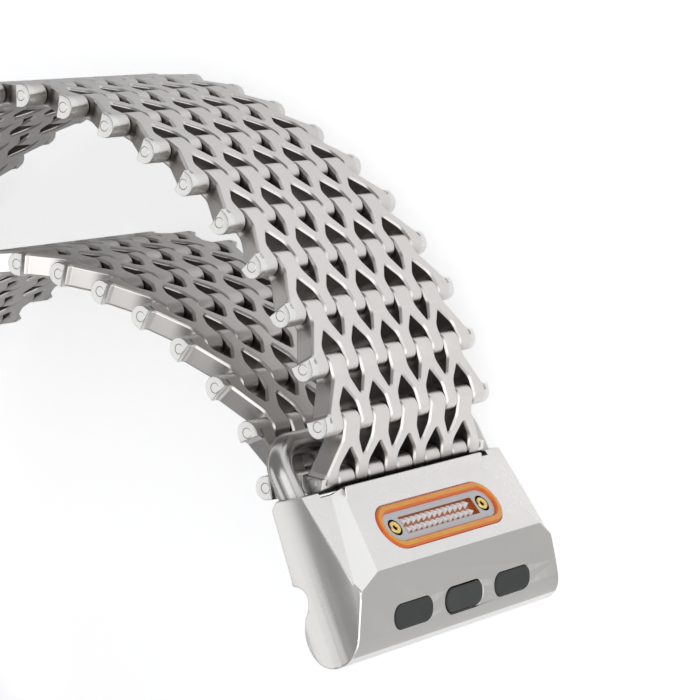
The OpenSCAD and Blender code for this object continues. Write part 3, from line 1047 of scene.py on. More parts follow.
@dataclass
class LinkRow:
    """One row of zig-zag plate with its hinge pin: fingers at x = 0, feet and pin at x = pitch.

    side_waist, side_shoulder and side_foot are the corners of the plate's two sides: a distance
    along x, a distance inward and a radius. The profiles run from the wall to the flat, as a
    distance inward and a drop below the flat.
    """

    bench: Bench
    pitch: float = 3.8
    strap_width: float = 19.2
    knuckle_r: float = 0.8
    pin_r: float = 0.345
    pin_ring: float = 0.02
    pin_sink: float = 0.012
    pin_chamfer: float = 0.03
    pin_sides: int = 24
    fingers: int = 5
    finger_width: float = 1.85
    foot_width: float = 1.35
    side_gap: float = 0.07
    side_waist: Corner = (0.95, 0.02, 0.8)
    side_shoulder: Corner = (0.2, 0.36, 0.25)
    side_foot: Corner = (0.04, 0.0, 0.5)
    side_start: float = 7.35
    side_flare: float = 0.62
    notch_straight: float = 1.05
    notch_tip: float = 2.36
    opening_tip: float = 1.56
    tip_r: float = 0.2
    bend_r: float = 0.9
    boss_proud: float = 0.25
    boss_back: float = 0.45
    boss_root: float = 0.4
    boss_profile: tuple[Point, ...] = ((0.0, 0.07), (0.02, 0.02), (0.07, 0.0))
    ring_profile: tuple[Point, ...] = ((0.0, 0.0), (0.012, 0.02), (0.012, 0.12))
    edge_profile: tuple[Point, ...] = (
        (0.0, 0.19), (0.01, 0.155), (0.035, 0.12), (0.11, 0.035), (0.14, 0.01), (0.175, 0.0)
    )
    sharpest_miter: float = 0.35
    barrel_steps: int = 12
    boss_steps: int = 16
    corner_shares: tuple[float, ...] = (0.35, 0.7, 1.0)
    back_shares: tuple[float, ...] = (0.33, 0.66, 1.0)
    sharp: float = 40.0
    finishes: tuple[Finish, ...] = (Finish.LINK, Finish.PIN, Finish.SHADED_HOLLOW)

    @property
    def cell(self) -> float:
        """Distance between two fingers' middles."""
        return self.finger_width + self.foot_width + 2 * self.side_gap

    @property
    def wall(self) -> float:
        """Half width of the row over its side walls."""
        return self.strap_width / 2 - self.boss_proud

    @property
    def edge(self) -> float:
        """Half width of the row over its outermost fingers."""
        return (self.fingers - 1) / 2 * self.cell + self.finger_width / 2

    def notch(self, middle: float, half: float, sign: int) -> list[Corner]:
        """Corners of one notch, from its mouth round its tip and back.

        Args:
            middle: z of the notch's middle.
            half: half width of its straight part.
            sign: 1 for a notch between fingers, -1 for an opening between feet.

        Returns:
            The corners, in rising z for the first kind and falling z for the other.
        """
        mouth = 0.0 if sign > 0 else self.pitch
        tip = self.notch_tip if sign > 0 else self.opening_tip
        straight = self.notch_straight if sign > 0 else self.pitch - self.notch_straight
        low, high = middle - sign * half, middle + sign * half
        corners = [(mouth, low, 0.0), (straight, low, self.bend_r), (tip, middle, self.tip_r)]
        return corners + [(straight, high, self.bend_r), (mouth, high, 0.0)]

    def outline(self) -> list[Point]:
        """Outline of the row in x and z.

        Returns:
            The points, anticlockwise from the lowest finger.
        """
        flat = self.pitch - self.boss_back
        foot_half = self.foot_width / 2 + self.side_gap
        finger_half = self.finger_width / 2 + self.side_gap
        waist, waist_in, waist_r = self.side_waist
        shoulder, shoulder_in, shoulder_r = self.side_shoulder
        foot, foot_in, foot_r = self.side_foot
        side = [(0.0, self.edge, 0.0), (waist, self.edge - waist_in, waist_r)]
        side += [(flat - shoulder, self.wall - shoulder_in, shoulder_r)]
        side += [(flat + foot, self.wall - foot_in, foot_r), (self.pitch, self.wall, 0.0)]
        corners = [(x, -z, radius) for x, z, radius in side]
        for index in range(self.fingers):
            middle = (index - (self.fingers - 1) / 2) * self.cell
            corners += list(reversed(self.notch(middle, finger_half, -1)))
        corners += list(reversed(side))
        for index in range(self.fingers - 1, 0, -1):
            middle = (index - self.fingers / 2) * self.cell
            corners += list(reversed(self.notch(middle, foot_half, 1)))
        return rounded_outline(corners)

    def inset(self, points: list[Point], amount: float) -> list[Point]:
        """Moves an outline inward, but keeps the ends of fingers and feet at their pins.

        Args:
            points: the outline, anticlockwise.
            amount: how far it moves.

        Returns:
            The moved outline.
        """
        moved_points = []
        count = len(points)
        for index, (x, z) in enumerate(points):
            before, after = Vector(points[index - 1]), Vector(points[(index + 1) % count])
            here = Vector((x, z))
            one = (here - before).normalized()
            two = (after - here).normalized()
            left_one, left_two = Vector((-one.y, one.x)), Vector((-two.y, two.x))
            if x in (0.0, self.pitch):
                side = left_one if abs(left_one.y) > abs(left_one.x) else left_two
                moved_points.append((x, z + amount * side.y))
                continue
            miter = (left_one + left_two) / max(self.sharpest_miter, 1 + left_one.dot(left_two))
            moved_points.append((x + amount * miter.x, z + amount * miter.y))
        return moved_points

    def plate(self) -> Shape:
        """The plate with its half-round finger and foot ends.

        Returns:
            One closed shell.
        """
        outline = self.outline()
        count = len(outline)
        levels = [(cut, self.knuckle_r - drop) for cut, drop in self.edge_profile]
        rings = [(self.inset(outline, cut), level) for cut, level in levels]
        shape = bmesh.new()
        top = [[shape.verts.new((x, level, z)) for x, z in ring] for ring, level in rings]
        low = [[shape.verts.new((x, -level, z)) for x, z in ring] for ring, level in rings]
        ends = []
        for index, (x, _) in enumerate(outline):
            after = (index + 1) % count
            if x in (0.0, self.pitch) and x == outline[after][0]:
                ends.append((index, after, x))
                continue
            for layer in range(len(rings) - 1):
                one, two = top[layer], top[layer + 1]
                shape.faces.new((one[index], one[after], two[after], two[index]))
                one, two = low[layer], low[layer + 1]
                shape.faces.new((one[index], two[index], two[after], one[after]))
            wall = shape.faces.new((low[0][index], low[0][after], top[0][after], top[0][index]))
            self.finish_wall(wall)
        shape.faces.new(top[-1])
        shape.faces.new(list(reversed(low[-1])))
        for index, after, x in ends:
            one = [layer[index] for layer in top] + [layer[after] for layer in reversed(top)]
            two = [layer[index] for layer in low] + [layer[after] for layer in reversed(low)]
            self.barrel(shape, one, two, x)
        return shape

    def finish_wall(self, face: bmesh.types.BMFace) -> None:
        """Finishes a wall as the plate on the row's outer sides, and in a darker copy of the metal,
        painted shade, in a notch.

        Args:
            face: the wall's face.
        """
        spot = face.calc_center_median()
        start = self.side_start + self.side_flare * max(0.0, spot.x - self.side_waist[0])
        # Walls inside the notches get the darker copy of the metal as painted shade.
        finish = Finish.LINK if abs(spot.z) > start else Finish.SHADED_HOLLOW
        face.material_index = self.finishes.index(finish)

    def barrel(
        self, shape: Shape, top: list[bmesh.types.BMVert], low: list[bmesh.types.BMVert], x: float
    ) -> None:
        """Turns a finger's or foot's section half round its pin.

        Args:
            shape: the row's shape.
            top: vertices of the section's upper half, from one side to the other.
            low: the same of the lower half.
            x: place of the pin.
        """
        out = -1.0 if x == 0.0 else 1.0
        rows = [top]
        for step in range(1, self.barrel_steps):
            angle = math.pi * step / self.barrel_steps
            s, c = math.sin(angle), math.cos(angle)
            spots = [(x + out * vert.co.y * s, vert.co.y * c, vert.co.z) for vert in top]
            rows.append([shape.verts.new(spot) for spot in spots])
        rows.append(low)
        for one, two in zip(rows, rows[1:]):
            for step in range(len(top) - 1):
                shape.faces.new((one[step], one[step + 1], two[step + 1], two[step]))
        for end in (0, -1):
            self.finish_wall(shape.faces.new([row[end] for row in rows]))

    def boss_outline(self, shrink: float) -> list[Point]:
        """Outline of an end boss about its pin in x and y, with its flat part towards -x.

        Args:
            shrink: how far the outline lies inward.

        Returns:
            The points of the outline.
        """
        radius, back = self.knuckle_r - shrink, self.boss_back - shrink
        corner, steps = math.atan2(radius, -back), self.boss_steps
        round_part = [math.pi * step / steps - QUARTER for step in range(steps + 1)]
        flat_part = [QUARTER + (corner - QUARTER) * share for share in self.corner_shares]
        flat_part += [corner + (math.pi - corner) * share for share in self.back_shares]
        mirrored = [2 * math.pi - angle for angle in reversed(flat_part[:-1])]
        points = []
        for angle in round_part + flat_part + mirrored:
            c, s = math.cos(angle), math.sin(angle)
            reach = radius if c >= -SAME_SPOT else min(back / -c, radius / max(abs(s), SAME_SPOT))
            points.append((reach * c, reach * s))
        return points

    def boss(self, side: int) -> Shape:
        """One end boss with the ring round its pin, at x = 0.

        Args:
            side: 1 or -1.

        Returns:
            The boss.
        """
        face = self.strap_width / 2
        hole_r = self.pin_r + self.pin_ring
        outline = self.boss_outline(0.0)
        angles = [math.atan2(y, x) for x, y in outline]
        rings = [[Vector((x, y, side * (self.wall - self.boss_root))) for x, y in outline]]
        for cut, drop in self.boss_profile:
            rings.append([Vector((x, y, side * (face - drop))) for x, y in self.boss_outline(cut)])
        for cut, drop in self.ring_profile:
            r, z = hole_r - cut, side * (face - drop)
            rings.append([Vector((r * math.cos(turn), r * math.sin(turn), z)) for turn in angles])
        return skin(rings)

    def pin(self) -> Shape:
        """The hinge pin with chamfered ends, at x = 0.

        Returns:
            The pin.
        """
        end, r, cut = self.strap_width / 2 - self.pin_sink, self.pin_r, self.pin_chamfer
        levels = [(r - cut, -end), (r, -end + cut), (r, end - cut), (r - cut, end)]
        circles = [(circle_points(radius, self.pin_sides), z) for radius, z in levels]
        return skin([[Vector((x, y, z)) for x, y in circle] for circle, z in circles])

    def mesh(self) -> bpy.types.Mesh:
        """The whole row, with its plate, bosses and pin.

        Returns:
            The smoothed mesh.
        """
        shape = self.plate()
        for part in (self.boss(1), self.boss(-1), self.pin()):
            bmesh.ops.translate(part, verts=part.verts, vec=(self.pitch, 0, 0))
            merge_into(shape, part, self.finishes.index(Finish.PIN))
        return self.bench.smoothed(self.bench.from_bmesh("row", shape), self.sharp)


@dataclass
class Strap:
    """Both strands and the row that turns under the loop."""

    bench: Bench
    row: LinkRow

    def build(self) -> None:
        """Places one row for each CAD row."""
        mesh = self.row.mesh()
        route = self.bench.route
        outer, inner = route.outer_pins(), route.inner_pins()
        self.one_row(mesh, "turn_row", "turn", outer[0], inner[0])
        for index in range(1, route.outer_rows + 1):
            apex, foot = outer[index], outer[index - 1]
            self.one_row(mesh, f"outer_row_{index}", f"outer_{index}", apex, foot)
        for index in range(1, route.inner_rows + 1):
            apex, foot = inner[index - 1], inner[index]
            self.one_row(mesh, f"inner_row_{index}", f"inner_{index}", apex, foot)

    def one_row(
        self, mesh: bpy.types.Mesh, node: str, body: str, apex: Vector, foot: Vector
    ) -> None:
        """Places a row.

        Args:
            mesh: the row's mesh.
            node: CAD node that it stands for.
            body: body that it rides on.
            apex: pin that its fingers turn on.
            foot: pin in its feet.
        """
        run = foot - apex
        matrix = self.bench.route.place(apex, math.degrees(math.atan2(run.y, run.x)))
        name = f"{node}_plate"
        self.bench.hand_over(name, mesh, matrix, body, self.row.finishes, "link_titanium", node)


# The buckle's loop


@dataclass
class WireLoop:
    """The bent wire that the strap turns round: a bar with two legs."""

    bench: Bench
    wire_r: float = 0.85
    leg_z: float = 10.9
    corner_r: float = 2.0
    corner_steps: int = 14
    leg_heading: float = -65.0
    leg_length: float = 7.6
    sides: int = 32

    def path(self) -> list[tuple[Vector, Vector]]:
        """The wire's axis, in leg reach (x) and z.

        Returns:
            Its points, each with its direction.
        """
        bar, r = self.leg_z - self.corner_r, self.corner_r
        turns = [QUARTER * step / self.corner_steps for step in range(self.corner_steps + 1)]
        points = [(Vector((self.leg_length, 0, -self.leg_z)), Vector((-1, 0, 0)))]
        for angle in turns:
            s, c = math.sin(angle), math.cos(angle)
            points.append((Vector((r * (1 - s), 0, -bar - r * c)), Vector((-c, 0, s))))
        for angle in turns:
            s, c = math.sin(angle), math.cos(angle)
            points.append((Vector((r * (1 - c), 0, bar + r * s)), Vector((s, 0, c))))
        points.append((Vector((self.leg_length, 0, self.leg_z)), Vector((1, 0, 0))))
        return points

    def build(self) -> None:
        """Sweeps the wire along its path."""
        rings = []
        across = Vector((0, 1, 0))
        for spot, way in self.path():
            other = way.cross(across)
            circle = circle_points(self.wire_r, self.sides)
            rings.append([spot + x * across + y * other for x, y in circle])
        mesh = self.bench.smoothed(self.bench.from_bmesh("loop", skin(rings)))
        matrix = self.bench.route.place(Vector((0, 0)), self.leg_heading)
        name, slot, node = "loop_wire", "loop_wire", "buckle_loop"
        self.bench.hand_over(name, mesh, matrix, "buckle", (Finish.WIRE,), slot, node)


# The lugs


@dataclass
class PadRow:
    """Two rubber pads and the latch button of a lug, in rail space.

    In rail space x runs towards the watch and y out of the pad face. The face profile runs from the
    pad's side to its middle, as a distance inward and a drop below its top.
    """

    bench: Bench
    length: float = 4.4
    width: float = 1.6
    corner_r: float = 0.75
    spacing: float = 5.95
    reach: float = 3.35
    depth: float = 0.8
    proud: float = 0.06
    face_profile: tuple[Point, ...] = ((0.0, 0.07), (0.02, 0.03), (0.07, 0.006), (0.25, 0.0))
    sharp: float = 50.0
    button_depth: float = 1.3
    button_gap: float = 0.06
    button_room: float = 0.75
    tool_rise: float = 1.0

    def pad_mesh(self, depth: float, name: str) -> bpy.types.Mesh:
        """A pad with a slightly domed face, at x = reach.

        Args:
            depth: how deep the pad goes.
            name: name of the mesh.

        Returns:
            The smoothed mesh.
        """
        levels = [(0.0, -depth)] + [(cut, self.proud - drop) for cut, drop in self.face_profile]
        rings = []
        for cut, y in levels:
            size = self.width - 2 * cut, self.length - 2 * cut
            outline = rounded_rectangle(*size, self.corner_r - cut)
            rings.append([Vector((self.reach + x, y, z)) for x, z in outline])
        return self.bench.smoothed(self.bench.from_bmesh(name, skin(rings)), self.sharp)

    def pocket_tools(self, quarter: float, crease: Point = (0.0, 0.0)) -> list[Shape]:
        """Tools that cut the pockets of the pads and of the button.

        Args:
            quarter: turn about x that brings the tools' foot into the lug, in radians.
            crease: x and y of the rail's crease.

        Returns:
            The tools of the near pad, the far pad and the button.
        """
        button = (0, self.button_gap, self.button_depth + self.button_room)
        tools = []
        for place, gap, depth in ((1, 0.0, self.depth), (-1, 0.0, self.depth), button):
            size = self.width + 2 * gap, self.length + 2 * gap
            outline = rounded_rectangle(*size, self.corner_r + gap)
            spot = (crease[0] + self.reach, crease[1], place * self.spacing)
            tools.append(moved(prism(outline, -self.tool_rise, depth), "X", quarter, spot))
        return tools

    def build(self, which: str, matrix: Matrix, lug_body: str, latch_body: str) -> None:
        """Places the pads and the button.

        Args:
            which: buckle or case.
            matrix: placing matrix of the rail.
            lug_body: body of the lug.
            latch_body: body of the latch button.
        """
        hand_over = self.bench.hand_over
        pad = self.pad_mesh(self.depth, f"{which}_pad")
        for side, end in ((1, "near"), (-1, "far")):
            spot = matrix @ Matrix.Translation((0, 0, side * self.spacing))
            name, node = f"{which}_pad_{end}", f"{which}_pads"
            hand_over(name, pad, spot, lug_body, (Finish.RUBBER,), "black_rubber", node)
        button = self.pad_mesh(self.button_depth, f"{which}_latch")
        name, node = f"{which}_latch_button", f"{which}_button"
        hand_over(name, button, matrix, latch_body, (Finish.LATCH,), "latch_black", node)


@dataclass
class RailShape:
    """Section of a rail with its bulb and the groove behind it, from its crease.

    bulb_tail is measured back from the bulb's middle and up from the rail's back. The groove's
    points are measured from the step behind the bulb.
    """

    bulb_r: float = 2.15
    bulb_reach: float = 3.85
    bulb_steps: int = 32
    bulb_tail: Point = (0.8, 0.1)
    step_at: float = 1.0
    groove: tuple[Point, ...] = ((1.4, 0.4), (0.75, 0.4), (0.4, 0.28), (0.15, 0.0))
    half_length: float = 12.5

    @property
    def back(self) -> float:
        """y of the rail's back."""
        return -2 * self.bulb_r

    def from_step(self, offsets: tuple[Point, ...]) -> list[Point]:
        """Points that are measured from the step behind the bulb, in x and y."""
        return [(self.step_at + x, self.back + y) for x, y in offsets]

    def below(self) -> list[Point]:
        """Outline from the crease round the bulb and its groove to the step.

        Returns:
            The points in x and y, clockwise.
        """
        points = [(0.0, 0.0)]
        for step in range(self.bulb_steps + 1):
            angle = QUARTER - math.pi * step / self.bulb_steps
            c, s = math.cos(angle), math.sin(angle)
            points.append((self.bulb_reach + self.bulb_r * c, -self.bulb_r + self.bulb_r * s))
        points.append((self.bulb_reach - self.bulb_tail[0], self.back + self.bulb_tail[1]))
        return points + self.from_step(self.groove)


@dataclass(frozen=True)
class Groove:
    """Groove of the inlay in the lug's main face, with x down the face from its lip."""

    reach: float = 2.88
    spacing: float = 10.4
    radius: float = 1.68
    depth: float = 0.7
    tool_rise: float = 1.0


@dataclass
class BuckleLug:
    """The lug that holds the loop and slides into the watch case.

    The cap is the block's top behind the lip: it rises along cap_heading and runs back along
    run_heading. seat_band is the stretch behind the lip where the seat's walls lie below the main
    face.
    """

    bench: Bench
    rail: RailShape
    pads: PadRow
    groove: Groove = Groove()
    crease: Point = (7.1, -7.85)
    face_heading: float = -52.4
    face_length: float = 5.55
    rail_heading: float = -92.0
    shoulder: tuple[Point, ...] = ((0.02, -0.3), (0.0, -0.85))
    cap_heading: float = 92.0
    cap_rise: float = 0.72
    run_heading: float = 190.0
    cap_run: float = 3.45
    cap_corner: float = 0.55
    cap_lean: float = 20.0
    face_half_top: float = 8.1
    face_half_crease: float = 9.8
    near_slope: float = 23.0
    far_slope: float = 30.0
    shelf_depth: float = 0.42
    shelf_tilt: float = 3.6
    seat_r: float = 4.3
    seat_half: float = 9.85
    seat_steps: int = 96
    seat_band: Point = (-2.9, -0.05)
    seat_below: float = 0.3
    seat_margin: Point = (0.02, 0.05)
    leg_heading: float = -65.0
    leg_z: float = 10.9
    leg_r: float = 0.86
    leg_reach: float = 7.61
    leg_steps: int = 32
    crest_heading: float = -69.0
    crest_offset: float = 0.4
    end_r: float = 6.0
    near_front_r: float = 10.0
    end_lean: float = 3.0
    dome_steps: int = 32
    stock_half: float = 30.0
    tool_size: Corner = (56.0, 25.0, 60.0)
    tool_middle: float = 3.0
    edge_r: float = 0.12
    edge_limit: float = 16.0
    sharp: float = 18.0
    flat_facing: float = 0.8
    bevel_facing: Point = (0.8, 0.96)
    bevel_slant: Point = (0.25, 0.6)
    finishes: tuple[Finish, ...] = (Finish.LUG, Finish.RAIL, Finish.SHADED_SEAT, Finish.BEVEL)

    def lip(self) -> Vector:
        """Upper lip of the main face."""
        return Vector(self.crease) - self.face_length * heading(self.face_heading)

    def rail_matrix(self) -> Matrix:
        """Placing matrix of the rail space."""
        return self.bench.route.place(Vector(self.crease), self.rail_heading)

    def outline(self) -> list[Point]:
        """Outline of the lug in the plan, with its rail.

        Returns:
            The points, anticlockwise.
        """
        crease, lip = Vector(self.crease), self.lip()
        along, out = heading(self.rail_heading), heading(self.rail_heading + 90)
        top = lip + self.cap_rise * heading(self.cap_heading)
        top_back = top + self.cap_run * heading(self.run_heading)
        section = self.rail.below() + self.rail.from_step(self.shoulder)
        corners = [lip] + [crease + x * along + y * out for x, y in section]
        corners.append(top_back + self.cap_corner * heading(self.face_heading - self.cap_lean))
        corners += [top_back + self.cap_corner * heading(self.run_heading - 180), top]
        points = [(corner.x, corner.y) for corner in corners]
        area = sum(a[0] * b[1] - b[0] * a[1] for a, b in zip(points, points[1:] + points[:1]))
        return points if area > 0 else list(reversed(points))

    def plan_tool(self, name: str, shape: Shape, at: Vector, angle: float) -> bpy.types.Object:
        """Turns a shape made at the origin to its place in the plan, still in millimetres."""
        return self.bench.from_bmesh(name, moved(shape, "Z", math.radians(angle), (at.x, at.y, 0)))

    def face_tool(self, name: str, shape: Shape) -> bpy.types.Object:
        """Puts a shape made at the origin at the main face's lip, with x down the face."""
        return self.plan_tool(name, shape, self.lip(), self.face_heading)

    def bevel_tool(self, side: int) -> bpy.types.Object:
        """Block that cuts the bevel beside the main face, down to the shelf.

        Args:
            side: 1 for the near side, -1 for the far side.

        Returns:
            The cutting tool.
        """
        run, deep, wide = self.tool_size
        flare = math.atan2(self.face_half_crease - self.face_half_top, self.face_length)
        steep = self.near_slope if side > 0 else self.far_slope
        shape = block((run, deep, deep), (self.tool_middle, deep / 2, side * deep / 2))
        moved(shape, "X", math.radians(side * steep))
        moved(shape, "Y", -side * flare, (0, 0, side * self.face_half_top))
        above = block((run, deep, wide), (self.tool_middle, deep / 2, 0))
        moved(above, "Z", math.radians(-self.shelf_tilt), (0, -self.shelf_depth, 0))
        tool = self.face_tool("bevel", shape)
        return self.bench.combine(tool, self.face_tool("shelf", above), "INTERSECT")

    def stock_tool(self, side: int) -> bpy.types.Object:
        """Stock with a domed end, laid along the end's crest and leaning towards the top.

        Args:
            side: side of the domed end, 1 for the near one and -1 for the far one.

        Returns:
            The tool that the lug is crossed with.
        """
        rail, end_r, far = self.rail, self.end_r, self.stock_half
        front = self.near_front_r if side > 0 else end_r
        outline = [(-end_r, -far), (end_r, -far)]
        for step in range(self.dome_steps + 1):
            x = end_r * math.cos(math.pi * step / self.dome_steps)
            radius = front if x > 0 else end_r
            outline.append((x, rail.half_length - radius + math.sqrt(max(0.0, radius**2 - x * x))))
        if side < 0:
            outline = [(x, -z) for x, z in reversed(outline)]
        shape = prism(outline, -far, far)
        upright = Matrix(((0, 0, 1), (1, 0, 0), (0, 1, 0)))
        bmesh.ops.rotate(shape, verts=shape.verts, matrix=upright)
        spot = Vector((0, 0, side * rail.half_length))
        lean = Matrix.Rotation(math.radians(-side * self.end_lean), 3, "Y")
        bmesh.ops.rotate(shape, cent=spot, verts=shape.verts, matrix=lean)
        crest = Vector(self.crease) + (rail.bulb_reach + rail.bulb_r) * heading(self.rail_heading)
        crest += rail.bulb_r * heading(self.rail_heading - 90)
        crest += self.crest_offset * heading(self.crest_heading + 90)
        return self.plan_tool("stock", shape, crest, self.crest_heading)

    def leg_tool(self, side: int) -> bpy.types.Object:
        """Rod that cuts the sleeve of one leg of the loop.

        Args:
            side: 1 for the near leg, -1 for the far leg.

        Returns:
            The cutting tool.
        """
        leg = prism(circle_points(self.leg_r, self.leg_steps), 0.0, self.leg_reach)
        moved(leg, "Y", QUARTER, (0, 0, side * self.leg_z))
        return self.plan_tool("leg", leg, Vector((0, 0)), self.leg_heading)

    def build(self) -> None:
        """Builds the lug by cutting closed shapes, then rounds its edges."""
        bench, groove, half = self.bench, self.groove, self.rail.half_length
        body = bench.from_bmesh("lug", prism(self.outline(), -half, half))
        hollow = prism(circle_points(self.seat_r, self.seat_steps), -self.seat_half, self.seat_half)
        body = bench.combine(body, bench.from_bmesh("seat", hollow), "DIFFERENCE")
        for side in (1, -1):
            body = bench.combine(body, self.stock_tool(side), "INTERSECT")
        for side in (1, -1):
            body = bench.combine(body, self.bevel_tool(side), "DIFFERENCE")
        for side in (1, -1):
            body = bench.combine(body, self.leg_tool(side), "DIFFERENCE")
        for tool in self.pads.pocket_tools(QUARTER):
            pocket = self.plan_tool("pocket", tool, Vector(self.crease), self.rail_heading)
            body = bench.combine(body, pocket, "DIFFERENCE")
        ring = prism(stadium_points(groove.spacing, groove.radius), -groove.tool_rise, groove.depth)
        moved(ring, "X", QUARTER, (groove.reach, 0, 0))
        body = bench.combine(body, self.face_tool("groove", ring), "DIFFERENCE")
        mesh = bench.rounded_edges(body, self.edge_r, limit=self.edge_limit, sharp=self.sharp)
        finish_faces(mesh, self.finishes, self.finish_of)
        matrix = bench.route.place(Vector((0, 0)), 0.0)
        name, slot = "buckle_lug_block", "lug_titanium"
        bench.hand_over(name, mesh, matrix, "buckle", self.finishes, slot, "buckle_lug")

    def finish_of(self, polygon: bpy.types.MeshPolygon) -> Finish:
        """Finish of a face: rail flat, seat in painted shade, bevel beside the main face with a
        painted highlight, or the rest.

        Args:
            polygon: the face.

        Returns:
            Its finish.
        """
        if self.on_pad_face(polygon):
            return Finish.RAIL
        if self.in_seat(polygon):
            # The seat's faces get the near-black titanium as painted shade.
            return Finish.SHADED_SEAT
        # Faces turned and slanted like the bevel get the lighter metal as a painted highlight.
        facing = self.facing(polygon, self.face_heading)
        turned = self.bevel_facing[0] < facing < self.bevel_facing[1]
        slanted = self.bevel_slant[0] < abs(polygon.normal.z) < self.bevel_slant[1]
        return Finish.BEVEL if turned and slanted else Finish.LUG

    def facing(self, polygon: bpy.types.MeshPolygon, angle: float) -> float:
        """How far a face looks the same way as a flat of the lug that has this heading."""
        return polygon.normal.xy.dot(heading(angle + 90))

    def on_pad_face(self, polygon: bpy.types.MeshPolygon) -> bool:
        """True for the flat of the rail that carries the pads."""
        facing = self.facing(polygon, self.rail_heading)
        return facing > self.flat_facing and polygon.center.y < self.crease[1]

    def in_seat(self, polygon: bpy.types.MeshPolygon) -> bool:
        """Finds the surfaces of the hollow that the strap's first row swings in.

        Args:
            polygon: the face.

        Returns:
            True for a face of the hollow.
        """
        centre = polygon.center
        from_lip = centre.xy - self.lip()
        ahead = from_lip.dot(heading(self.face_heading))
        below = from_lip.dot(heading(self.face_heading - 90))
        near_bar = centre.xy.length < self.seat_r + self.seat_margin[0]
        behind_lip = self.seat_band[0] < ahead < self.seat_band[1] and below > self.seat_below
        return abs(centre.z) < self.seat_half + self.seat_margin[1] and (near_bar or behind_lip)


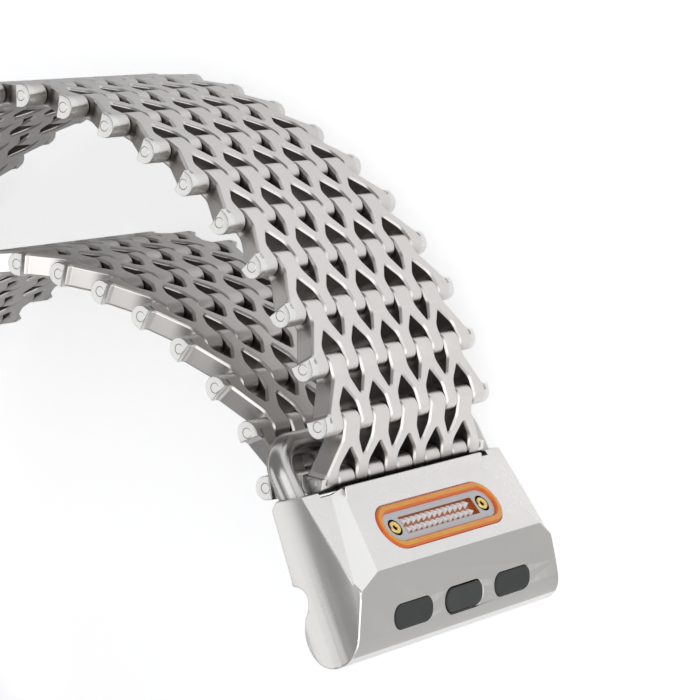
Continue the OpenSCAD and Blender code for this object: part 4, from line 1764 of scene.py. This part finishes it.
@dataclass
class Inlay:
    """The amber ring in the lug's face with its plate, teeth and rivets.

    x runs down the face and y out of it. The crowns run from the outside to the inside, as a
    distance from the ring's outside or the rivet's radius, and a height over the lug's face.
    """

    bench: Bench
    lug: BuckleLug
    ring_crown: tuple[Point, ...] = (
        (0.0, -0.02), (0.05, 0.05), (0.14, 0.1), (0.29, 0.12), (0.44, 0.1), (0.53, 0.05),
        (0.58, -0.02),
    )
    ring_sharp: float = 60.0
    amber_from: float = 0.08
    plate_sink: float = 0.1
    plate_edge: float = 0.03
    recess_length: float = 8.7
    recess_width: float = 1.3
    recess_depth: float = 0.3
    recess_corner: float = 0.08
    recess_steps: int = 3
    recess_margin: Point = (0.02, 0.05)
    deep_from: float = 0.15
    tool_rise: float = 1.0
    teeth: int = 13
    tooth_height: float = 0.2
    tooth_gap: float = 0.02
    tooth_taper: float = 0.72
    tooth_edge: float = 0.02
    rivet_crown: tuple[Point, ...] = (
        (0.5, -0.16), (0.47, -0.09), (0.4, -0.04), (0.32, -0.05), (0.21, -0.1), (0.16, -0.16)
    )
    rivet_gap: float = 0.12
    rivet_seat_steps: int = 32
    rivet_steps: int = 40
    rivet_sharp: float = 50.0
    plate_finishes: tuple[Finish, ...] = (Finish.PLATE, Finish.RECESS, Finish.SHADED_SEAT)

    @property
    def recess_floor(self) -> float:
        """Height of the recess's floor."""
        return -self.plate_sink - self.recess_depth

    def hand_over(
        self, name: str, mesh: bpy.types.Mesh, finishes: tuple[Finish, ...], slot: str, node: str
    ) -> None:
        """Places a piece of the inlay on the main face and hands it over."""
        matrix = self.bench.route.place(self.lug.lip(), self.lug.face_heading)
        self.bench.hand_over(name, mesh, matrix, "buckle", finishes, slot, node)

    def ring(self) -> None:
        """A domed enamel ring, with painted shade, a darker red, on its two sides."""
        groove, finishes = self.lug.groove, (Finish.AMBER, Finish.AMBER_SHADED_SIDE)
        foot = -groove.depth
        rings = []
        for cut, y in ((0.0, foot), *self.ring_crown, (self.ring_crown[-1][0], foot)):
            outline = stadium_points(groove.spacing, groove.radius - cut)
            rings.append([Vector((groove.reach + x, y, z)) for x, z in outline])
        piece = self.bench.from_bmesh("ring", skin(rings, closed=True))
        mesh = self.bench.smoothed(piece, self.ring_sharp)
        top, side = finishes
        finish_faces(mesh, finishes, lambda face: top if face.center.y > self.amber_from else side)
        self.hand_over("amber_ring", mesh, finishes, "amber_enamel", "inlay_ring")

    def cut(self, piece: bpy.types.Object, outline: list[Point]) -> bpy.types.Object:
        """Cuts an outline into the plate, down to the recess's floor."""
        shape = self.laid(outline, self.recess_floor, self.tool_rise)
        return self.bench.combine(piece, self.bench.from_bmesh("recess", shape), "DIFFERENCE")

    def plate(self) -> None:
        """The light plate inside the ring, with its sunk middle and the seats of the rivets."""
        groove, finishes = self.lug.groove, self.plate_finishes
        outline = stadium_points(groove.spacing, groove.radius - self.ring_crown[-1][0])
        piece = self.bench.from_bmesh("plate", self.laid(outline, -groove.depth, -self.plate_sink))
        size = self.recess_width, self.recess_length
        piece = self.cut(piece, rounded_rectangle(*size, self.recess_corner, self.recess_steps))
        for side in (1, -1):
            seat = circle_points(self.rivet_crown[0][0] + self.rivet_gap, self.rivet_seat_steps)
            piece = self.cut(piece, [(x, z + side * groove.spacing / 2) for x, z in seat])
        mesh = self.bench.rounded_edges(piece, self.plate_edge, 2)
        finish_faces(mesh, finishes, self.plate_finish)
        self.hand_over("inlay_face", mesh, finishes, "inlay_grey", "inlay_plate")

    def plate_finish(self, polygon: bpy.types.MeshPolygon) -> Finish:
        """Finish of a face of the plate: its top, its sunk middle or a rivet's seat, which is in
        painted shade.

        Args:
            polygon: the face.

        Returns:
            Its finish.
        """
        spot, (across, along) = polygon.center, self.recess_margin
        if spot.y >= -self.deep_from:
            return Finish.PLATE
        in_length = abs(spot.z) < self.recess_length / 2 + along
        in_width = abs(spot.x - self.lug.groove.reach) < self.recess_width / 2 + across
        return Finish.RECESS if in_length and in_width else Finish.SHADED_SEAT

    def laid(self, outline: list[Point], low: float, high: float) -> Shape:
        """Prism over an outline of the face.

        Args:
            outline: the outline in x and z, from the inlay's middle line.
            low: y of its foot.
            high: y of its top.

        Returns:
            The prism.
        """
        reach = self.lug.groove.reach
        shape = bmesh.new()
        bottom = [shape.verts.new((reach + x, low, z)) for x, z in outline]
        top = [shape.verts.new((reach + x, high, z)) for x, z in outline]
        shape.faces.new(bottom)
        shape.faces.new(list(reversed(top)))
        for index in range(len(outline)):
            after = (index + 1) % len(outline)
            shape.faces.new((bottom[index], top[index], top[after], bottom[after]))
        return shape

    def tooth_rows(self) -> None:
        """Two rows of small pointed teeth on the recess's floor."""
        shape = bmesh.new()
        pitch = self.recess_length / (self.teeth + 1)
        floor, taper = self.recess_floor, self.tooth_taper
        half = self.recess_width / 4 - self.tooth_gap
        for row in (-1, 1):
            x = self.lug.groove.reach + row * self.recess_width / 4
            for index in range(self.teeth):
                z = (index - (self.teeth - 1) / 2) * pitch
                base = [(x - half, z + half), (x + half, z + half), (x, z - half)]
                tip = [(x + (px - x) * taper, z + (pz - z) * taper) for px, pz in base]
                low = [shape.verts.new((px, floor, pz)) for px, pz in base]
                top = [shape.verts.new((px, floor + self.tooth_height, pz)) for px, pz in tip]
                shape.faces.new(low)
                shape.faces.new(top)
                for step in range(3):
                    after = (step + 1) % 3
                    shape.faces.new((low[step], low[after], top[after], top[step]))
        mesh = self.bench.rounded_edges(self.bench.from_bmesh("teeth", shape), self.tooth_edge, 2)
        self.hand_over("inlay_tooth_rows", mesh, (Finish.TOOTH,), "white_teeth", "inlay_teeth")

    def rivets(self) -> None:
        """Two gold rivets with a hole, domed round it."""
        groove, crown, floor = self.lug.groove, self.rivet_crown, self.recess_floor
        profile = [(crown[-1][0], floor), (crown[0][0], floor), *crown]
        for side, end in ((1, "near"), (-1, "far")):
            shape = lathe(profile, self.rivet_steps)
            moved(shape, "X", -QUARTER, (groove.reach, 0, side * groove.spacing / 2))
            mesh = self.bench.smoothed(self.bench.from_bmesh("rivet", shape), self.rivet_sharp)
            self.hand_over(f"gold_rivet_{end}", mesh, (Finish.GOLD,), "gold_rivet", "inlay_rivets")

    def build(self) -> None:
        """Builds every piece of the inlay."""
        self.ring()
        self.plate()
        self.tooth_rows()
        self.rivets()


@dataclass
class CaseLug:
    """The lug on the inner strand's end: fingers on the last pin, a waist and the rail.

    root and side_root are how far the waist's two outlines reach into the rail, and overlap is how
    far the rail reaches back into the waist.
    """

    bench: Bench
    rail: RailShape
    row: LinkRow
    pads: PadRow
    reach: float = 5.0
    waist_gap: float = 0.4
    root: float = 1.5
    side_root: float = 1.0
    overlap: float = 0.3
    flat_half: float = 3.0
    side_half: float = 14.0
    barrel_steps: int = 40
    edge_r: float = 0.14

    def outline(self) -> list[Point]:
        """Flat outline of fingers and waist.

        Returns:
            The points in x and z.
        """
        row = self.row
        straight, edge = row.notch_straight, row.edge
        foot_half = row.foot_width / 2 + row.side_gap
        half = self.rail.half_length
        waist, end = self.reach - self.waist_gap, self.reach + self.root
        points = [(0.0, -edge), (straight, -edge), (waist, -half), (end, -half)]
        points += [(end, half), (waist, half), (straight, edge), (0.0, edge)]
        for index in range(row.fingers - 1, 0, -1):
            middle = (index - row.fingers / 2) * row.cell
            high, low = middle + foot_half, middle - foot_half
            points += [(0.0, high), (straight, high), (straight, low), (0.0, low)]
        return points

    def side_outline(self) -> list[Point]:
        """Outline of fingers and waist from the side.

        Returns:
            The points in x and y.
        """
        straight, knuckle, r = self.row.notch_straight, self.row.knuckle_r, self.rail.bulb_r
        waist, end = self.reach - self.waist_gap, self.reach + self.side_root
        points = [(0.0, -knuckle), (straight, -knuckle), (waist, -r), (end, -r)]
        return points + [(end, r), (waist, r), (straight, knuckle), (0.0, knuckle)]

    def build(self) -> None:
        """Builds the lug by crossing its two outlines and joining its fingers and its rail."""
        bench, row, rail = self.bench, self.row, self.rail
        flat = moved(prism(self.outline(), -self.flat_half, self.flat_half), "X", QUARTER)
        body = bench.from_bmesh("case", flat)
        side = prism(self.side_outline(), -self.side_half, self.side_half)
        body = bench.combine(body, bench.from_bmesh("side", side), "INTERSECT")
        circle = circle_points(row.knuckle_r, self.barrel_steps)
        half = row.finger_width / 2
        for index in range(row.fingers):
            middle = (index - (row.fingers - 1) / 2) * row.cell
            barrel = bench.from_bmesh("barrel", prism(circle, middle - half, middle + half))
            body = bench.combine(body, barrel, "UNION")
        section = rail.below() + [(-self.overlap, rail.back), (-self.overlap, 0.0)]
        bar = prism(list(reversed(section)), -rail.half_length, rail.half_length)
        moved(bar, "X", math.pi, (self.reach, -rail.bulb_r, 0))
        body = bench.combine(body, bench.from_bmesh("rail", bar), "UNION")
        for tool in self.pads.pocket_tools(-QUARTER, (self.reach, -rail.bulb_r)):
            body = bench.combine(body, bench.from_bmesh("pocket", tool), "DIFFERENCE")
        mesh = bench.rounded_edges(body, self.edge_r)
        matrix = bench.route.place(bench.route.inner_pins()[-1], bench.route.case_heading())
        name, slot = "case_lug_block", "lug_titanium"
        bench.hand_over(name, mesh, matrix, "case_end", (Finish.LUG,), slot, "case_lug")

    def rail_matrix(self) -> Matrix:
        """Placing matrix of the rail space.

        Returns:
            The matrix from the rail's own millimetres to the part's metres.
        """
        route = self.bench.route
        flipped = route.place(route.inner_pins()[-1], route.case_heading(), flip=True)
        return flipped @ Matrix.Translation((self.reach, self.rail.bulb_r, 0))


# The magnet tab


@dataclass
class MagnetTab:
    """The flat tab on the outer strand's end: x to its free end, y away from the wrist."""

    bench: Bench
    row: LinkRow
    length: float = 13.5
    width: float = 25.0
    thickness: float = 2.6
    wall: float = 1.0
    corner_r: float = 2.5
    corner_steps: int = 8
    taper: float = 2.2
    foot_root: float = 0.3
    foot_steps: int = 16
    edge_r: float = 0.22
    cover: float = 0.5
    cover_corner: float = 0.6
    cover_gap: float = 0.03
    cover_edge: float = 0.05
    tool_top: float = 4.0
    pin_sharp: float = 50.0

    @property
    def start(self) -> float:
        """Where the tab reaches its full width."""
        return self.row.notch_straight + self.taper

    def hand_over(
        self, name: str, mesh: bpy.types.Mesh, finish: Finish, slot: str, node: str
    ) -> None:
        """Places a piece of the tab.

        Args:
            name: name of the piece.
            mesh: its mesh.
            finish: its finish.
            slot: the record's material slot.
            node: CAD node that the piece stands for.
        """
        route = self.bench.route
        matrix = route.place(route.outer_pins()[-1], route.tab_heading(), flip=True)
        self.bench.hand_over(name, mesh, matrix, "tab", (finish,), slot, node)

    def outline(self) -> list[Point]:
        """Flat outline behind the feet, with round corners.

        Returns:
            The points in x and z.
        """
        half, wall, r = self.width / 2, self.row.wall, self.corner_r
        points = [(self.row.notch_straight, -wall), (self.start, -half)]
        for side, first in ((-1, -QUARTER), (1, 0.0)):
            for step in range(self.corner_steps + 1):
                angle = first + QUARTER * step / self.corner_steps
                x = self.length - r + r * math.cos(angle)
                points.append((x, side * (half - r) + r * math.sin(angle)))
        return points + [(self.start, half), (self.row.notch_straight, wall)]

    def window(self, gap: float, high: float, name: str) -> bpy.types.Object:
        """Flat box with round corners in the place of the cover.

        Args:
            gap: how far it stays inside the cover's pocket.
            high: its top.
            name: name of the new object.

        Returns:
            The box.
        """
        length, width = self.length - self.wall - self.start, self.width - 2 * self.wall
        outline = rounded_rectangle(length - 2 * gap, width - 2 * gap, self.cover_corner - gap)
        shape = prism(outline, self.row.knuckle_r - self.cover, high)
        placed = moved(shape, "X", QUARTER, (self.start + length / 2, 0, 0))
        return self.bench.from_bmesh(name, placed)

    def build(self) -> None:
        """Builds the shell, its cover and its hinge pin."""
        bench, row = self.bench, self.row
        slab = prism(self.outline(), -self.thickness + row.knuckle_r, row.knuckle_r)
        body = bench.from_bmesh("tab", moved(slab, "X", QUARTER))
        for index in range(row.fingers + 1):
            body = bench.combine(body, self.foot(index), "UNION")
        body = bench.combine(body, self.window(0.0, self.tool_top, "pocket"), "DIFFERENCE")
        mesh = bench.rounded_edges(body, self.edge_r)
        self.hand_over("tab_body", mesh, Finish.LUG, "lug_titanium", "tab_shell")
        cover = self.window(self.cover_gap, row.knuckle_r, "cover")
        mesh = bench.rounded_edges(cover, self.cover_edge, 2)
        self.hand_over("tab_cover_plate", mesh, Finish.COVER, "cover_steel", "tab_cover")
        mesh = bench.smoothed(bench.from_bmesh("pin", row.pin()), self.pin_sharp)
        self.hand_over("tab_hinge_pin", mesh, Finish.PIN, "link_titanium", "tab_pin")

    def foot(self, index: int) -> bpy.types.Object:
        """One of the tab's feet round its hinge pin.

        Args:
            index: place of the foot, from 0.

        Returns:
            The foot.
        """
        row = self.row
        middle = (index - row.fingers / 2) * row.cell
        low, high = middle - row.foot_width / 2, middle + row.foot_width / 2
        if index == 0:
            low = -row.strap_width / 2
        if index == row.fingers:
            high = row.strap_width / 2
        root = row.notch_straight + self.foot_root
        points = [(root, -row.knuckle_r), (root, row.knuckle_r)]
        for step in range(self.foot_steps + 1):
            angle = QUARTER + math.pi * step / self.foot_steps
            points.append((row.knuckle_r * math.cos(angle), row.knuckle_r * math.sin(angle)))
        return self.bench.from_bmesh("foot", prism(points, low, high))


# The pieces that stay as the frame gives them


def dress_frame(bench: Bench) -> None:
    """Gives the hidden frame pieces that stay their finish.

    Args:
        bench: holds the finishes.
    """
    wanted = {
        "buckle_spring": Finish.SPRING,
        "case_spring": Finish.SPRING,
        "tab_magnets": Finish.MAGNET,
    }
    for node, finish in wanted.items():
        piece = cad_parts[node]
        piece.data.materials.clear()
        piece.data.materials.append(bench.finishes[finish])
        LOG.info("dressed %s", node)


# The studio, in metres

WHITE = (1.0, 1.0, 1.0, 1.0)


@dataclass(frozen=True)
class Lamp:
    """A round area lamp that looks at the object's middle."""

    name: str
    at: Corner
    size: float
    power: float
    target: Corner = (0.0, 0.0, 0.012)

    def build(self) -> None:
        """Makes the lamp."""
        data = bpy.data.lights.new(self.name, "AREA")
        data.shape = "DISK"
        data.size = self.size
        data.energy = self.power
        lamp = bpy.data.objects.new(self.name, data)
        lamp.location = self.at
        aim = Vector(self.target) - Vector(self.at)
        lamp.rotation_euler = aim.to_track_quat("-Z", "Y").to_euler()
        bpy.context.scene.collection.objects.link(lamp)


@dataclass
class Studio:
    """Floor, world, lamps and camera.

    The spans say where a light fades, and the ends what it gives before and after. The backdrop
    fades with height. The floor's glow rises along x, and in reflections it is a painted
    reflection:
    faces of the metal that mirror the floor on the +x side read lighter than those that mirror the
    -x side. The card is a soft glow round card_aim. The camera's view is fitted to the strap's
    pins: camera_target is in the plan's millimetres and camera_offset is measured from it.
    """

    route: Route
    plain_colour: tuple[float, ...] = (0.9, 0.93, 1.0, 1.0)
    plain_strength: float = 0.3
    backdrop_span: Point = (0.02, 0.28)
    backdrop_ends: Point = (1.0, 0.25)
    card_aim: Corner = (0.55, -0.36, 0.754)
    card_span: Point = (0.72, 0.92)
    card_ends: Point = (0.0, 0.65)
    floor_half: float = 1.2
    floor_drop: float = 0.00002
    floor_colour: tuple[float, ...] = (0.8, 0.8, 0.8, 1.0)
    # The next two set where the floor's glow ramps along x and what it gives: a painted reflection
    # in the metal.
    painted_glow_span: Point = (-0.014, 0.03)
    painted_glow_ends: Point = (0.05, 0.5)
    floor_glow: float = 0.55
    floor_most: float = 0.6
    lamps: tuple[Lamp, ...] = (
        Lamp("back_lamp", (-0.46, -0.07, 0.47), 0.5, 0.5),
        Lamp("front_lamp", (0.5, 0.06, 0.46), 0.9, 2.2),
        Lamp("over_lamp", (0.1, 0.02, 0.64), 0.22, 0.1),
    )
    focal: float = 150.446
    sensor: float = 36.0
    clip: Point = (0.005, 10.0)
    camera_right: Corner = (0.8129707, -0.0643772, -0.5787349)
    camera_back: Corner = (0.5823045, 0.0898787, 0.8079872)
    camera_target: Point = (2.85, 1.3)
    camera_offset: Corner = (110.94983, 21.66203, 159.38626)

    def world(self) -> None:
        """A soft world: a white backdrop to the camera and in reflections, under a dim ceiling."""
        world = bpy.data.worlds.new("studio_world")
        bpy.context.scene.world = world
        world.use_nodes = True
        world.node_tree.nodes.clear()
        board = NodeBoard(world.node_tree)
        where = board.add("TexCoord").outputs["Generated"]
        height = board.add("SeparateXYZ", {0: where}).outputs["Z"]
        backdrop = board.fade(height, self.backdrop_span, self.backdrop_ends)
        near_aim = board.add("VectorMath", {0: where, 1: self.card_aim})
        near_aim.operation = "DOT_PRODUCT"
        card = board.fade(near_aim.outputs["Value"], self.card_span, self.card_ends)
        seen = board.add("LightPath").outputs["Is Camera Ray"]
        strength = board.math("MAXIMUM", board.math("ADD", backdrop, card), seen)
        plain = {"Color": self.plain_colour, "Strength": self.plain_strength}
        plain_light = board.add("Background", plain).outputs[0]
        white_light = board.add("Background", {"Color": WHITE, "Strength": strength}).outputs[0]
        both = {"Fac": board.seen_directly(), 1: plain_light, 2: white_light}
        board.add("OutputWorld", {"Surface": board.add("MixShader", both).outputs[0]})

    def floor_material(self) -> bpy.types.Material:
        """Pale material that reads white where it is lit, and glows only where it is seen directly.
        Its glow rises along x, which is a painted reflection in the metal.

        Returns:
            The floor's material.
        """
        material, board = new_material("pale_floor")
        board.tree.nodes.clear()
        where = board.add("TexCoord").outputs["Object"]
        along = board.add("SeparateXYZ", {0: where}).outputs["X"]
        # Painted reflection: the glow that glossy rays see rises along x, so the metal mirrors a
        # floor brighter on one side.
        rise = board.fade(along, self.painted_glow_span, self.painted_glow_ends)
        seen = board.add("LightPath").outputs["Is Camera Ray"]
        lift = board.math("MULTIPLY_ADD", seen, self.floor_glow, rise)
        lift = board.math("MINIMUM", lift, self.floor_most)
        glow = board.add("Emission", {"Color": WHITE, "Strength": lift}).outputs[0]
        dark = board.add("Emission", {"Strength": 0.0}).outputs[0]
        pale = board.add("BsdfDiffuse", {"Color": self.floor_colour}).outputs[0]
        chosen = board.add("MixShader", {"Fac": board.seen_directly(), 1: dark, 2: glow}).outputs[0]
        both = board.add("AddShader", {0: pale, 1: chosen}).outputs[0]
        board.add("OutputMaterial", {"Surface": both})
        return material

    def floor(self) -> None:
        """A pale floor that keeps the object's shadow."""
        half = self.floor_half
        corners = [(-half, -half, 0), (half, -half, 0), (half, half, 0), (-half, half, 0)]
        mesh = bpy.data.meshes.new("floor")
        mesh.from_pydata(corners, [], [(0, 1, 2, 3)])
        mesh.materials.append(self.floor_material())
        floor = bpy.data.objects.new("floor", mesh)
        floor.location.z = -self.floor_drop
        bpy.context.scene.collection.objects.link(floor)

    def camera(self) -> None:
        """The camera at the photograph's angle."""
        data = bpy.data.cameras.new("photo_camera")
        data.lens = self.focal
        data.sensor_width = self.sensor
        data.sensor_fit = "HORIZONTAL"
        data.clip_start, data.clip_end = self.clip
        target = Vector(self.camera_target) - self.route.centre()
        right, back = Vector(self.camera_right), Vector(self.camera_back)
        spot = Vector((target.x, target.y, self.route.half_width)) + Vector(self.camera_offset)
        columns = Matrix((right, back.cross(right), back)).transposed()
        camera = bpy.data.objects.new("photo_camera", data)
        camera.matrix_world = Matrix.Translation(spot * MM) @ columns.to_4x4()
        bpy.context.scene.collection.objects.link(camera)
        bpy.context.scene.camera = camera

    def build(self) -> None:
        """Sets the whole studio up."""
        bpy.context.scene.view_settings.view_transform = "Standard"
        self.world()
        self.floor()
        for lamp in self.lamps:
            lamp.build()
        self.camera()


def main() -> None:
    """Builds the studio and every sub-assembly in order."""
    logging.basicConfig(level=logging.INFO, format="%(name)s: %(message)s")
    route = Route()
    Studio(route).build()
    bench = Bench(route, all_finishes())
    row = LinkRow(bench)
    rail = RailShape()
    pads = PadRow(bench)
    Strap(bench, row).build()
    WireLoop(bench).build()
    lug = BuckleLug(bench, rail, pads)
    lug.build()
    Inlay(bench, lug).build()
    pads.build("buckle", lug.rail_matrix(), "buckle", "buckle_latch")
    case = CaseLug(bench, rail, row, pads)
    case.build()
    pads.build("case", case.rail_matrix(), "case_end", "case_latch")
    MagnetTab(bench, row).build()
    dress_frame(bench)
    LOG.info("%d pieces made", len(bench.made))


if __name__ == "__main__":
    main()
